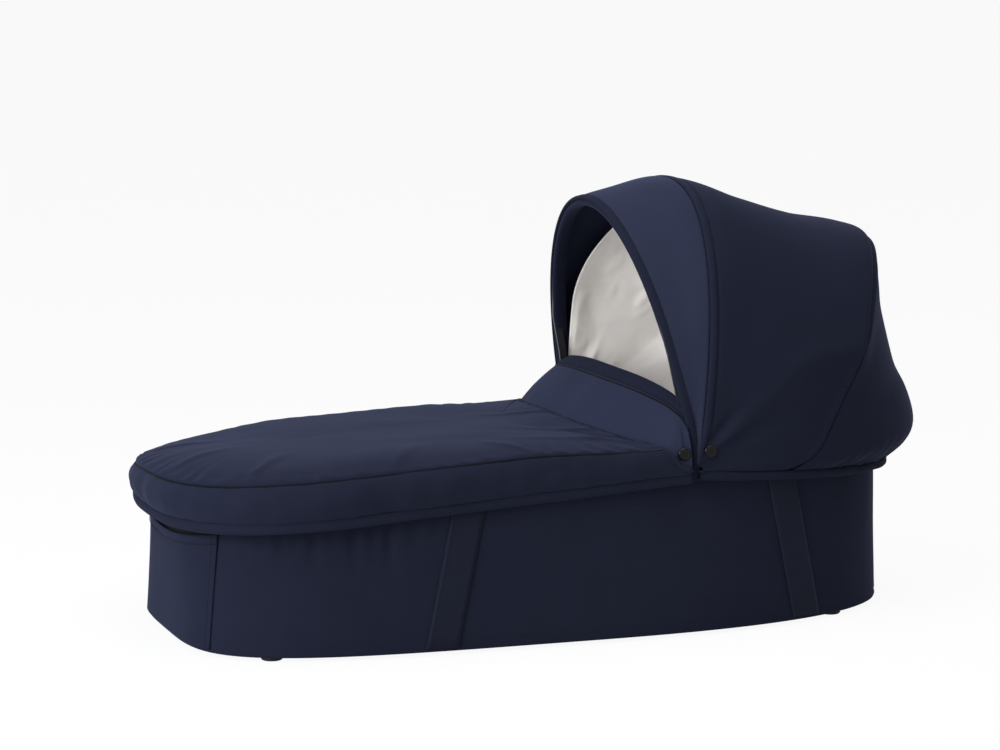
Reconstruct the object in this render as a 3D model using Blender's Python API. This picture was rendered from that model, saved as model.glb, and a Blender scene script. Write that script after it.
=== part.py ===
"""Soft carrycot with a padded apron and a three-bow folding hood.

Everything is laid out in the cot's own frame: X from the foot end to the head end,
Y across, Z up from the bottom edge of the outer cover, with the tub's centre at zero.
The empty cot_origin then stands the whole cot on its feet at the middle of its box.
"""
import math

import bmesh
import bpy
from mathutils import Vector
from mathutils.bvhtree import BVHTree

# Tub: plan of the base and of the rim
BASE_LENGTH = 0.778
BASE_WIDTH = 0.391
LENGTH_TAPER = 0.010
WIDTH_TAPER = 0.003
RIM_LENGTH = BASE_LENGTH - LENGTH_TAPER
RIM_WIDTH = BASE_WIDTH - WIDTH_TAPER
BASE_FOOT_SQUARENESS = 4.1
RIM_FOOT_SQUARENESS = 3.1
HEAD_SQUARENESS = 2.56
PLAN_POINTS = 56

# Rim tube: its height above the cover's bottom edge at three places along the cot
RIM_END_INSET = 0.009
RIM_FOOT_X = RIM_END_INSET - BASE_LENGTH / 2
RIM_FOOT_HEIGHT = 0.149
RIM_HINGE_HEIGHT = 0.173
RIM_HEAD_X = BASE_LENGTH / 2 - RIM_END_INSET
RIM_HEAD_HEIGHT = 0.162
RIM_TUBE_RADIUS = 0.0065
RIM_TUBE_INSET = 0.0105

# Running gap between pieces that touch
SEAT_GAP = 0.0003

# Outer cover
COVER_THICKNESS = 0.003
COVER_RISE_OVER_RIM = 0.0075
COVER_LIP_DEPTH = 0.0125
COVER_LIP_THICKNESS = 0.0015
COVER_EDGE_ROUND = 0.0025

# Panel sewn over the foot end of the cover
FOOT_PANEL_THICKNESS = 0.0015
FOOT_PANEL_BOTTOM = 0.006
FOOT_PANEL_SIDE_TOP = 0.128
FOOT_PANEL_MID_TOP = 0.120
FOOT_PANEL_COLUMNS = 8

# Base board
BOARD_CLEARANCE = 0.0006
BOARD_BOTTOM = 0.0018
BOARD_FLOOR_THICKNESS = 0.0095
BOARD_WALL_HEIGHT = 0.028
BOARD_WALL_THICKNESS = 0.0025
BOARD_POCKET_DEPTH = 0.0065
BOARD_POCKET_LENGTH = 0.080
BOARD_POCKET_WIDTH = 0.072
BOARD_RIB_WIDTH = 0.004
BOARD_EDGE_MARGIN = 0.024
VENT_LENGTH = 0.046
VENT_WIDTH = 0.008
CUT_OVERRUN = 0.004

# Feet
FOOT_HEIGHT = 0.004
FOOT_RADIUS = 0.011
FOOT_STEM_RADIUS = 0.003
FOOT_STEM_RISE = 0.0042
FOOT_CHAMFER = 0.0012
FOOT_X = 0.305
FOOT_INSET = 0.0165
FOOT_SIDES = 14

# Wire stays that push the rim up, and the clips that hold their ends
STAY_RADIUS = 0.003
STAY_INSET = 0.0118
STAY_TOP_DROP = 0.0105
FOOT_STAY_END_X = -0.150
HEAD_STAY_END_X = 0.100
STAY_STRAIGHT = 0.037
STAY_POINTS = 24
STAY_CLIMB_POWER = 0.8
CLIP_LENGTH = 0.018
CLIP_THICKNESS = 0.0098
CLIP_HEIGHT = 0.020
CLIP_CHAMFER = 0.0015
CLIP_FLOOR = 0.004

# Cotton liner and mattress
LINER_INSET = 0.0184
LINER_THICKNESS = 0.0012
MATTRESS_GAP = 0.003
MATTRESS_THICKNESS = 0.034
MATTRESS_CROWN = 0.006
MATTRESS_EDGE_ROUND = 0.010
MATTRESS_CROWN_SHARES = (0.0, 0.55, 0.85, 1.0)
MATTRESS_CROWN_REACH_SHARE = 0.75

# Carry straps: one webbing loop on each side, and the padded grip on each loop
STRAP_WIDTH = 0.033
STRAP_THICKNESS = 0.0018
STRAP_FOOT_BOTTOM_X = -0.153
STRAP_FOOT_TOP_X = -0.118
STRAP_HEAD_BOTTOM_X = 0.254
STRAP_HEAD_TOP_X = 0.215
STRAP_BOTTOM = 0.004
STRAP_TOP_GAP = 0.0010
HANDLE_STANDOFF = 0.0060
HANDLE_HEIGHT = 0.098
HANDLE_TURN_RADIUS = 0.034
HANDLE_TURN_STEPS = 4
GRIP_LENGTH = 0.120
GRIP_PADDING = 0.004
GRIP_COLUMNS = 6
GRIP_ROUNDING_SHARE = 0.35

# Twelve places round the grip's slot, each as shares of its half height and half depth
GRIP_RING_SHARES = (
    (-1, -1), (-0.5, -1), (0.5, -1), (1, -1), (1, -0.35), (1, 0.35),
    (1, 1), (0.5, 1), (-0.5, 1), (-1, 1), (-1, 0.35), (-1, -0.35),
)

# Hood: where its skin fans out from, and where its bows pivot
HOOD_FAN_X = 0.118
HOOD_FAN_Z = 0.168
HOOD_PIVOT_RISE = 0.028
HOOD_SKIN_THICKNESS = 0.0018
HOOD_LINING_INSET = 0.0138
HOOD_LINING_START = 0.044
LINING_HEM_RISE = 0.019
HOOD_LINING_THICKNESS = 0.0012
HOOD_HUB_REACH = 0.022
HOOD_COLUMNS = 22
HOOD_HEM_HEIGHT = 0.0095
HOOD_HEM_THICKNESS = 0.0022
HOOD_SEAM_GAP_DEG = 0.15

# Reach of the hood from its fan point at each station, and half its width there
VISOR_REACH = 0.2675
MIDDLE_REACH = 0.2861
CROWN_REACH = 0.2856
SHOULDER_REACH = 0.3036
RIDGE_REACH = 0.3409
HEM_OVERHANG = 0.0295
BULGE_OVERHANG = 0.0478
WAIST_OVERHANG = 0.0358
BACK_OVERHANG = 0.0448
HEM_REACH = BASE_LENGTH / 2 - HOOD_FAN_X + HEM_OVERHANG
BULGE_REACH = BASE_LENGTH / 2 - HOOD_FAN_X + BULGE_OVERHANG
WAIST_REACH = BASE_LENGTH / 2 - HOOD_FAN_X + WAIST_OVERHANG
BACK_REACH = BASE_LENGTH / 2 - HOOD_FAN_X + BACK_OVERHANG
HOOD_OVERHANG = 0.003
VISOR_DRAW_IN = 0.0035
HOOD_HALF_WIDTH = BASE_WIDTH / 2 + HOOD_OVERHANG
VISOR_HALF_WIDTH = HOOD_HALF_WIDTH - VISOR_DRAW_IN
VISOR_ANGLE_DEG = 100.55
MIDDLE_ANGLE_DEG = 81.56
RIDGE_ANGLE_DEG = 41.1
HEM_ANGLE_DEG = -3.4
HOOD_BULGE_DEG = 4.0
HOOD_TUCK_DEG = 11.0
HOOD_WAIST_DEG = 17.9
HOOD_BACK_DEG = 29.8
HOOD_SHELF_DEG = 37.8
HOOD_SHOULDER_DEG = 52.2
HOOD_CROWN_DEG = 66.0
HOOD_TUCK_SHARE = 0.75
HOOD_SHELF_SHARE = 0.88

# Squareness of the hood's section at each station, from the hem up to the visor's edge
HOOD_SQUARENESS = (2.2, 2.3, 2.4, 2.5, 2.5, 2.45, 2.45, 2.4, 2.35, 2.25, 2.05)

# Rear seam, and the rows of each panel
SEAM_START_DEG = 15.0
SEAM_FULL_DEG = 45.0
SEAM_CURVE = 4
SEAM_STAND_GAPS = 3
REAR_PANEL_START_SHARE = 2 / 3
VISOR_ROWS = 3
PANEL_ROWS = 7
LINING_MAIN_ROWS = 4
LINING_REAR_ROWS = 6

# Bows, their hubs and the pivot
BOW_WIDTH = 0.008
BOW_THICKNESS = 0.0034
BOW_SKIN_GAP = 0.0022
REAR_BOW_SKIN_GAP = 0.0045
FRONT_BOW_SETBACK_DEG = 1.5
BOW_JOIN_REACH = 0.120
BOW_JOGGLE_REACH = 0.050
BOW_KNEE_SHARE = 0.8
BOW_NECK_SHARE = 1.6
TANGENT_TURN = 0.01
HUB_RADIUS = 0.009
HUB_THICKNESS = 0.0022
HUB_SIDES = 20
PIN_RADIUS = 0.003
PIN_HEAD_RADIUS = 0.0055
PIN_HEAD_HEIGHT = 0.0014
PIN_CLEARANCE = 0.0003
BRACKET_LENGTH = 0.026
BRACKET_THICKNESS = 0.0076
BRACKET_FOOT_DROP = 0.0035
BRACKET_CHAMFER = 0.0015

# Apron
APRON_FOOT_OVERHANG = 0.0195
APRON_SIDE_OVERHANG = 0.0075
APRON_FOOT_REACH = BASE_LENGTH / 2 + APRON_FOOT_OVERHANG
APRON_WIDTH = BASE_WIDTH + APRON_SIDE_OVERHANG * 2
APRON_SQUARENESS = 3.05
APRON_LEVEL = 0.192
APRON_SLOPE = 0.065
APRON_CORNER_X = 0.078
APRON_CROWN = 0.0125
APRON_SEAT_RISE = 0.0029
APRON_BAND_END_X = 0.110
APRON_BAND_THICKNESS = 0.0035
APRON_BAND_BULGE = 0.0045
APRON_FOOT_BULGE = 0.0040
APRON_HEM_HEIGHT = 0.010
APRON_HEM_THICKNESS = 0.0024
APRON_HEM_INSET = 0.0010
APRON_HEM_FOOT = 0.130
APRON_HEM_MIDDLE_X = -0.150
APRON_HEM_MIDDLE = 0.1405
APRON_HEM_HEAD = 0.159
PIPING_RADIUS = 0.0016
APRON_ARC_POINTS = 40
APRON_SEAM_POINTS = 14
APRON_BAND_POINTS = APRON_ARC_POINTS + 4
APRON_TUCK_GAPS = 3
BAND_CORNER_POWER = 0.26

# Shares of the apron top's rings and crown, of its underside, and of the band's fall and puff
APRON_RING_SHARES = (1.0, 0.965, 0.90, 0.72, 0.45, 0.20)
APRON_CROWN_SHARES = (0.0, 0.32, 0.60, 0.85, 0.97, 1.0)
APRON_UNDER_SHARES = (0.20, 1.0)
BAND_DROP_SHARES = (0.0, 0.18, 0.5, 0.82, 1.0)
BAND_PUFF_SHARES = (0.0, 0.75, 1.0, 0.65, 0.0)

# Wind flap
FLAP_THICKNESS = 0.0028
FLAP_BULGE = 0.004
FLAP_COLUMNS = 24
FLAP_ROWS = 4
FLAP_STEP_SHARE = 0.02
FLAP_BINDING_STEP_SHARE = 1.4
FLAP_BINDING_RADIUS = 0.0028
FLAP_SEAM_X = 0.047
FLAP_SEAM_Z = 0.2015
FLAP_TOP_X = 0.0950
FLAP_TOP_Z = 0.2495
FLAP_END_X = 0.1075
FLAP_END_INSET = 0.004
FLAP_END_Y = APRON_WIDTH / 2 - FLAP_END_INSET
FLAP_END_Z = 0.171

# Knots of the flap's curves, as shares: run, half width, and drop below the middle
FLAP_SEAM_CORNER_SHARE = 0.4
FLAP_SEAM_SIDE_SHARE = 0.973
FLAP_SEAM_SHARES = ((0.2, 0.81, 1.0), (0.65, 0.49, 1 / 3))
FLAP_TOP_SHARES = (
    (0.45, 0.958, 0.45), (0.62, 0.940, 0.345), (0.76, 0.886, 0.27),
    (0.86, 0.690, 0.155), (0.95, 0.345, 0.04),
)

# Snap caps
SNAP_RADIUS = 0.0067
SNAP_HEIGHT = 0.0032
SNAP_SIDES = 18
SNAP_DOME_SHARE = 0.85
SNAP_FLAT_SHARE = 0.55
FLAP_SNAP_X = 0.1025
FLAP_SNAP_Z = 0.187
HOOD_SNAP_X = 0.132
HOOD_SNAP_Z = 0.188

# How far the cot reaches past the tub's centre, which sets its origin
HEAD_REACH = HOOD_FAN_X + BULGE_REACH
FOOT_REACH = APRON_FOOT_REACH + APRON_BAND_BULGE + APRON_FOOT_BULGE
ORIGIN_X = (FOOT_REACH - HEAD_REACH) / 2

COLOURS = {
    "navy_twill": ((0.012, 0.015, 0.034), 0.85, 0.0),
    "cotton": ((0.70, 0.68, 0.66), 0.90, 0.0),
    "webbing": ((0.010, 0.012, 0.028), 0.80, 0.0),
    "nylon": ((0.020, 0.020, 0.022), 0.45, 0.0),
    "aluminium": ((0.62, 0.63, 0.65), 0.35, 1.0),
    "steel": ((0.50, 0.50, 0.52), 0.30, 1.0),
    "rubber": ((0.015, 0.015, 0.016), 0.75, 0.0),
    "foam": ((0.75, 0.74, 0.72), 0.92, 0.0),
}
SMOOTH_ANGLE = math.radians(40)
LEFT = 1
RIGHT = -1
SIDE_NAMES = {LEFT: "left", RIGHT: "right"}
PIVOTS = {}


def clear_scene():
    for item in list(bpy.data.objects):
        bpy.data.objects.remove(item, do_unlink=True)


def material(name):
    found = bpy.data.materials.get(name)
    if found:
        return found
    colour, roughness, metallic = COLOURS[name]
    made = bpy.data.materials.new(name)
    made.use_nodes = True
    shader = made.node_tree.nodes["Principled BSDF"]
    shader.inputs["Base Color"].default_value = (*colour, 1.0)
    shader.inputs["Roughness"].default_value = roughness
    shader.inputs["Metallic"].default_value = metallic
    return made


def add_pivot(name, place, parent=None):
    """An empty at a place in the cot's frame; the pieces that move with it hang on it."""
    empty = bpy.data.objects.new(name, None)
    bpy.context.collection.objects.link(empty)
    place = Vector(place)
    PIVOTS[name] = (empty, place)
    if parent:
        holder, holder_place = PIVOTS[parent]
        empty.parent = holder
        empty.location = place - holder_place
    return empty


def hang(item, pivot):
    """Hang a piece, modelled in the cot's frame, on a pivot without moving it."""
    holder, place = PIVOTS[pivot]
    item.parent = holder
    item.location = item.location - place
    return item


def finish_mesh(name, build, finish, pivot, smooth=True):
    bmesh.ops.recalc_face_normals(build, faces=build.faces)
    mesh = bpy.data.meshes.new(name)
    build.to_mesh(mesh)
    build.free()
    item = bpy.data.objects.new(name, mesh)
    bpy.context.collection.objects.link(item)
    if smooth:
        mesh.shade_smooth()
        mesh.set_sharp_from_angle(angle=SMOOTH_ANGLE)
    mesh.materials.append(material(finish))
    if pivot:
        hang(item, pivot)
    return item


def join_rings(build, rings, wrap):
    """Quads between neighbouring rings of points; wrap closes each ring on itself."""
    count = len(rings[0])
    last = count if wrap else count - 1
    for low, high in zip(rings, rings[1:]):
        for k in range(last):
            after = (k + 1) % count
            build.faces.new((low[k], low[after], high[after], high[k]))


def stacked_solid(name, rings, finish, pivot):
    """Closed rings stacked one after another, with a face over the first and the last."""
    build = bmesh.new()
    stack = [[build.verts.new(p) for p in ring] for ring in rings]
    join_rings(build, stack, True)
    build.faces.new(stack[0])
    build.faces.new(stack[-1])
    return finish_mesh(name, build, finish, pivot)


def swept_solid(name, sections, finish, pivot, closed=False):
    """A closed section carried along a path, capped at its ends or joined to itself."""
    build = bmesh.new()
    stack = [[build.verts.new(p) for p in section] for section in sections]
    join_rings(build, stack + stack[:1] if closed else stack, True)
    if not closed:
        build.faces.new(stack[0])
        build.faces.new(stack[-1])
    return finish_mesh(name, build, finish, pivot)


def sheet_solid(name, outer, inner, finish, pivot, wrap=False):
    """A thick sheet: rows of points on its outer and inner faces, edges joined."""
    build = bmesh.new()
    faces_out = [[build.verts.new(p) for p in row] for row in outer]
    faces_in = [[build.verts.new(p) for p in row] for row in inner]
    join_rings(build, faces_out, wrap)
    join_rings(build, faces_in, wrap)
    join_rings(build, [faces_out[0], faces_in[0]], wrap)
    join_rings(build, [faces_out[-1], faces_in[-1]], wrap)
    if not wrap:
        for side in (0, -1):
            rim_out = [row[side] for row in faces_out]
            rim_in = [row[side] for row in faces_in]
            join_rings(build, [rim_out, rim_in], False)
    return finish_mesh(name, build, finish, pivot)


def tube_curve(name, points, radius, finish, pivot, closed=False, resolution=1):
    """A round tube along a run of points, as a bevelled poly curve with filled caps."""
    curve = bpy.data.curves.new(name, "CURVE")
    curve.dimensions = "3D"
    curve.bevel_depth = radius
    curve.bevel_resolution = resolution
    curve.use_fill_caps = not closed
    spline = curve.splines.new("POLY")
    spline.points.add(len(points) - 1)
    for place, point in zip(spline.points, points):
        place.co = (*point, 1.0)
    spline.use_cyclic_u = closed
    item = bpy.data.objects.new(name, curve)
    bpy.context.collection.objects.link(item)
    curve.materials.append(material(finish))
    if pivot:
        hang(item, pivot)
    return item


def circle_ring(centre, radius, sides, axis="Z"):
    points = []
    for k in range(sides):
        turn = 2 * math.pi * k / sides
        across = radius * math.cos(turn)
        up = radius * math.sin(turn)
        if axis == "Z":
            offset = Vector((across, up, 0))
        else:
            offset = Vector((across, 0, up))
        points.append(Vector(centre) + offset)
    return points


def turned_solid(name, centre, profile, sides, finish, pivot, axis="Z", facing=1):
    """A piece turned about Z or Y from (radius, distance along the axis) pairs."""
    along = Vector((0, 0, facing)) if axis == "Z" else Vector((0, facing, 0))
    rings = [circle_ring(Vector(centre) + along * d, r, sides, axis) for r, d in profile]
    return stacked_solid(name, rings, finish, pivot)


def box_cutter(name, boxes):
    """Separate boxes (low corner, high corner) in one hidden cutter."""
    build = bmesh.new()
    for low, high in boxes:
        made = bmesh.ops.create_cube(build, size=1.0)
        low = Vector(low)
        high = Vector(high)
        middle = (low + high) / 2
        for vert in made["verts"]:
            vert.co = Vector(a * b for a, b in zip(vert.co, high - low)) + middle
    cutter = finish_mesh(name, build, "nylon", None, smooth=False)
    return hide_cutter(cutter)


def hide_cutter(cutter):
    cutter.hide_render = True
    cutter.display_type = "WIRE"
    return cutter


def boolean(item, cutter, operation="DIFFERENCE"):
    """Cutters hang on the same pivot as their piece, so both stay in line."""
    cutter.parent = item.parent
    cutter.location = cutter.location + item.location
    step = item.modifiers.new(cutter.name, "BOOLEAN")
    step.operation = operation
    step.object = cutter
    step.solver = "EXACT"
    return item


def lerp(start, end, share):
    return start + (end - start) * share


def curve_through(knots, share):
    """Catmull-Rom curve through its knots, share 0 to 1, as a Vector."""
    spans = len(knots) - 1
    place = min(max(share, 0.0), 1.0) * spans
    k = min(int(place), spans - 1)
    t = place - k
    p1 = Vector(knots[k])
    p2 = Vector(knots[k + 1])
    p0 = Vector(knots[k - 1]) if k > 0 else p1 * 2 - p2
    p3 = Vector(knots[k + 2]) if k + 2 <= spans else p2 * 2 - p1
    return (
        p1 * 2
        + (p2 - p0) * t
        + (p0 * 2 - p1 * 5 + p2 * 4 - p3) * t ** 2
        + (p1 * 3 - p0 - p2 * 3 + p3) * t ** 3
    ) / 2


def parabola(x, knots):
    """Height at x on the parabola through three (x, height) knots."""
    total = 0
    for k, (xk, height) in enumerate(knots):
        share = 1
        for j, (xj, _) in enumerate(knots):
            if j != k:
                share *= (x - xj) / (xk - xj)
        total += height * share
    return total


OUTLINES = {}
OUTLINE_STEPS = 1440


def oval_outline(length, width, foot_power, head_power):
    """Fine run of (x, y, normal x, normal y, arc) round a rounded oval, from the head tip."""
    key = (length, width, foot_power, head_power)
    if key in OUTLINES:
        return OUTLINES[key]
    half_length = length / 2
    half_width = width / 2
    run = []
    arc = 0
    for k in range(OUTLINE_STEPS + 1):
        turn = 2 * math.pi * k / OUTLINE_STEPS
        cos, sin = math.cos(turn), math.sin(turn)
        power = head_power if cos > 0 else foot_power
        across = math.copysign(abs(cos) ** (2 / power), cos)
        aside = math.copysign(abs(sin) ** (2 / power), sin)
        x = half_length * across
        y = half_width * aside
        nx = math.copysign(abs(across) ** (power - 1), across) / half_length
        ny = math.copysign(abs(aside) ** (power - 1), aside) / half_width
        size = math.hypot(nx, ny)
        if run:
            arc += math.hypot(x - run[-1][0], y - run[-1][1])
        run.append((x, y, nx / size, ny / size, arc))
    OUTLINES[key] = run
    return run


def outline_point(outline, share):
    """Point and outward normal at a share of the way round an outline."""
    target = (share % 1.0) * outline[-1][4]
    low, high = 0, len(outline) - 1
    while high - low > 1:
        middle = (low + high) // 2
        if outline[middle][4] <= target:
            low = middle
        else:
            high = middle
    a, b = outline[low], outline[high]
    t = (target - a[4]) / (b[4] - a[4])
    place = Vector((lerp(a[0], b[0], t), lerp(a[1], b[1], t), 0))
    normal = Vector((lerp(a[2], b[2], t), lerp(a[3], b[3], t), 0))
    return place, normal.normalized()


def rim_height(x):
    """Height of the rim tube's middle at x."""
    knots = [
        (RIM_FOOT_X, RIM_FOOT_HEIGHT),
        (HOOD_FAN_X, RIM_HINGE_HEIGHT),
        (RIM_HEAD_X, RIM_HEAD_HEIGHT),
    ]
    return parabola(x, knots)


def cover_top(x):
    return rim_height(x) + COVER_RISE_OVER_RIM


def tub_sizes(height):
    """Length, width and foot squareness of the tub's plan at a height."""
    share = min(max(height / RIM_HINGE_HEIGHT, 0), 1)
    length = lerp(BASE_LENGTH, RIM_LENGTH, share)
    width = lerp(BASE_WIDTH, RIM_WIDTH, share)
    return length, width, lerp(BASE_FOOT_SQUARENESS, RIM_FOOT_SQUARENESS, share)


def tub_point(share, height, inset):
    """Point at a share of the way round the tub's wall, set in from its outer face."""
    level = height(0) if callable(height) else height
    length, width, power = tub_sizes(level)
    place, normal = outline_point(oval_outline(length, width, power, HEAD_SQUARENESS), share)
    place = place - normal * inset
    place.z = height(place.x) if callable(height) else height
    return place


def tub_ring(height, inset, count=PLAN_POINTS):
    return [tub_point(k / count, height, inset) for k in range(count)]


def tub_side_y(x, height):
    """Half width of the tub's outer face at x."""
    length, width, foot_power = tub_sizes(height)
    power = HEAD_SQUARENESS if x > 0 else foot_power
    share = min(abs(x) / (length / 2), 1)
    return width / 2 * (1 - share ** power) ** (1 / power)


def tub_share_at(x, side):
    """Share round the rim outline where its side passes x; the left side comes first."""
    low, high = 0.0, 0.5
    for _ in range(30):
        middle = (low + high) / 2
        if tub_point(middle, RIM_HINGE_HEIGHT, 0).x > x:
            low = middle
        else:
            high = middle
    return low if side == LEFT else 1 - low


def build_outer_cover():
    """The tub's cloth wall: an open sleeve with a lip turned in under the board."""
    outer = [
        tub_ring(0, COVER_LIP_DEPTH),
        tub_ring(0, COVER_EDGE_ROUND),
        tub_ring(COVER_EDGE_ROUND, 0),
        tub_ring(RIM_FOOT_HEIGHT / 3, 0),
        tub_ring(RIM_FOOT_HEIGHT * 2 / 3, 0),
        tub_ring(cover_top, 0),
    ]
    inner = [
        tub_ring(COVER_LIP_THICKNESS, COVER_LIP_DEPTH),
        tub_ring(COVER_LIP_THICKNESS, COVER_THICKNESS),
        tub_ring(RIM_FOOT_HEIGHT / 3, COVER_THICKNESS),
        tub_ring(RIM_FOOT_HEIGHT * 2 / 3, COVER_THICKNESS),
        tub_ring(cover_top, COVER_THICKNESS),
    ]
    return sheet_solid("outer_cover", outer, inner, "navy_twill", "cot_origin", wrap=True)


def build_foot_panel():
    """A second layer round the foot end, hemmed along its top and open there."""
    levels = (0, 1 / 3, 2 / 3, 1)
    outer = []
    inner = []
    for level in levels:
        row_out = []
        row_in = []
        for k in range(FOOT_PANEL_COLUMNS + 1):
            across = 2 * k / FOOT_PANEL_COLUMNS - 1
            share = 0.5 + across * FOOT_PANEL_COLUMNS / 2 / PLAN_POINTS
            top = lerp(FOOT_PANEL_MID_TOP, FOOT_PANEL_SIDE_TOP, across ** 2)
            height = lerp(FOOT_PANEL_BOTTOM, top, level)
            slack = SEAT_GAP + FOOT_PANEL_THICKNESS * (1 - across ** 2) * level ** 2
            row_out.append(tub_point(share, height, -slack - FOOT_PANEL_THICKNESS))
            row_in.append(tub_point(share, height, -slack))
        outer.append(row_out)
        inner.append(row_in)
    return sheet_solid("foot_panel", outer, inner, "navy_twill", "cot_origin")


def board_pockets():
    """Corners of the pockets in the board's floor, leaving a grid of ribs between them."""
    pitch_x = BOARD_POCKET_LENGTH + BOARD_RIB_WIDTH
    pitch_y = BOARD_POCKET_WIDTH + BOARD_RIB_WIDTH
    along = int((BASE_LENGTH / 2 - BOARD_EDGE_MARGIN) / pitch_x)
    across = int((BASE_WIDTH / 2 - BOARD_EDGE_MARGIN) / pitch_y)
    pockets = []
    for i in range(-along, along):
        for j in range(-across, across):
            low_x = i * pitch_x + BOARD_RIB_WIDTH / 2
            low_y = j * pitch_y + BOARD_RIB_WIDTH / 2
            high_x = low_x + BOARD_POCKET_LENGTH
            high_y = low_y + BOARD_POCKET_WIDTH
            far_x = max(abs(low_x), abs(high_x)) * (1 if low_x + high_x > 0 else -1)
            room = tub_side_y(far_x, 0) - BOARD_EDGE_MARGIN
            if max(abs(low_y), abs(high_y)) < room:
                pockets.append((low_x, low_y, high_x, high_y))
    return pockets


def foot_places():
    """Left and right, foot end and head end."""
    places = []
    for end in (-1, 1):
        for side in (LEFT, RIGHT):
            place = tub_point(tub_share_at(end * FOOT_X, side), 0, FOOT_INSET)
            places.append((end, side, place))
    return places


def build_base_board():
    """A moulded tray: turned-up edge, pockets that leave ribs, vent slots and foot holes."""
    inset = COVER_THICKNESS + BOARD_CLEARANCE
    floor = BOARD_BOTTOM + BOARD_FLOOR_THICKNESS
    rings = [
        tub_ring(BOARD_BOTTOM, inset),
        tub_ring(BOARD_WALL_HEIGHT, inset),
        tub_ring(BOARD_WALL_HEIGHT, inset + BOARD_WALL_THICKNESS),
        tub_ring(floor, inset + BOARD_WALL_THICKNESS),
    ]
    board = stacked_solid("base_board", rings, "nylon", "cot_origin")
    pockets = []
    vents = []
    for low_x, low_y, high_x, high_y in board_pockets():
        low = (low_x, low_y, floor - BOARD_POCKET_DEPTH)
        pockets.append((low, (high_x, high_y, floor + CUT_OVERRUN)))
        mid_x = (low_x + high_x) / 2
        for place in (1 / 3, 2 / 3):
            mid_y = lerp(low_y, high_y, place)
            corner = (mid_x - VENT_LENGTH / 2, mid_y - VENT_WIDTH / 2)
            away = (mid_x + VENT_LENGTH / 2, mid_y + VENT_WIDTH / 2)
            vents.append(((*corner, BOARD_BOTTOM - CUT_OVERRUN), (*away, floor)))
    boolean(board, box_cutter("board_pocket_cutter", pockets))
    boolean(board, box_cutter("board_vent_cutter", vents))
    holes = bmesh.new()
    for _, _, place in foot_places():
        low = bmesh.ops.create_cone(
            holes,
            segments=FOOT_SIDES,
            cap_ends=True,
            radius1=FOOT_STEM_RADIUS + SEAT_GAP,
            radius2=FOOT_STEM_RADIUS + SEAT_GAP,
            depth=2 * (FOOT_STEM_RISE + CUT_OVERRUN) - FOOT_HEIGHT,
        )
        bmesh.ops.translate(holes, verts=low["verts"], vec=place)
    cutter = finish_mesh("board_foot_hole_cutter", holes, "nylon", None, smooth=False)
    boolean(board, hide_cutter(cutter))
    return board


def build_feet():
    """Four rubber feet under the cover, each with a stem pushed into the board."""
    names = {-1: "foot_end", 1: "head_end"}
    for end, side, place in foot_places():
        profile = [
            (FOOT_RADIUS - FOOT_CHAMFER, -FOOT_HEIGHT),
            (FOOT_RADIUS, -FOOT_HEIGHT + FOOT_CHAMFER),
            (FOOT_RADIUS, -SEAT_GAP),
            (FOOT_STEM_RADIUS, -SEAT_GAP),
            (FOOT_STEM_RADIUS, FOOT_STEM_RISE),
        ]
        name = f"rubber_foot_{names[end]}_{SIDE_NAMES[side]}"
        turned_solid(name, place, profile, FOOT_SIDES, "rubber", "cot_origin")


def build_rim_tube():
    points = tub_ring(rim_height, RIM_TUBE_INSET)
    return tube_curve(
        "rim_tube", points, RIM_TUBE_RADIUS, "aluminium", "cot_origin", closed=True, resolution=1
    )


def stay_points(end_x):
    """From one clip up round the end of the tub, under the rim, and down to the other clip."""
    start = tub_share_at(end_x, LEFT)
    finish = tub_share_at(end_x, RIGHT)
    if end_x > 0:
        finish = finish - 1
    foot = BOARD_BOTTOM + BOARD_FLOOR_THICKNESS + CLIP_FLOOR + SEAT_GAP
    ends = [tub_point(start, foot, STAY_INSET), tub_point(finish, foot, STAY_INSET)]
    tip_x = RIM_FOOT_X if end_x < 0 else RIM_HEAD_X
    top = rim_height(tip_x) - STAY_TOP_DROP
    run = []
    for k in range(STAY_POINTS + 1):
        share = k / STAY_POINTS
        around = lerp(start, finish, share)
        climb = math.sin(math.pi * share) ** STAY_CLIMB_POWER
        height = lerp(STAY_STRAIGHT, top, climb)
        run.append(tub_point(around, height, STAY_INSET))
    run[0] = ends[0].copy()
    run[0].z = STAY_STRAIGHT
    run[-1] = ends[1].copy()
    run[-1].z = STAY_STRAIGHT
    return [ends[0]] + run + [ends[1]]


def build_stays():
    """Two bent wires that prop the rim at each end, their ends in clips on the board."""
    floor = BOARD_BOTTOM + BOARD_FLOOR_THICKNESS
    for name, end_x in (("foot_stay", FOOT_STAY_END_X), ("head_stay", HEAD_STAY_END_X)):
        points = stay_points(end_x)
        tube_curve(name, points, STAY_RADIUS, "steel", "cot_origin")
        for side, foot in ((LEFT, points[0]), (RIGHT, points[-1])):
            low = (-CLIP_LENGTH / 2, -CLIP_THICKNESS / 2, floor + SEAT_GAP - foot.z)
            high = (CLIP_LENGTH / 2, CLIP_THICKNESS / 2, floor + SEAT_GAP + CLIP_HEIGHT - foot.z)
            build = bmesh.new()
            made = bmesh.ops.create_cube(build, size=1.0)
            for vert in made["verts"]:
                vert.co = Vector(
                    lerp(a, b, 0.5 + c) for a, b, c in zip(low, high, vert.co)
                )
            clip_name = f"{name}_clip_{SIDE_NAMES[side]}"
            clip = finish_mesh(clip_name, build, "nylon", None, smooth=False)
            clip.location = foot
            hang(clip, "cot_origin")
            edge = clip.modifiers.new("edges", "BEVEL")
            edge.width = CLIP_CHAMFER
            edge.segments = 1
            bore = circle_rings_cutter(f"{clip_name}_bore", CLIP_HEIGHT + CUT_OVERRUN)
            boolean(clip, bore)


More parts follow.
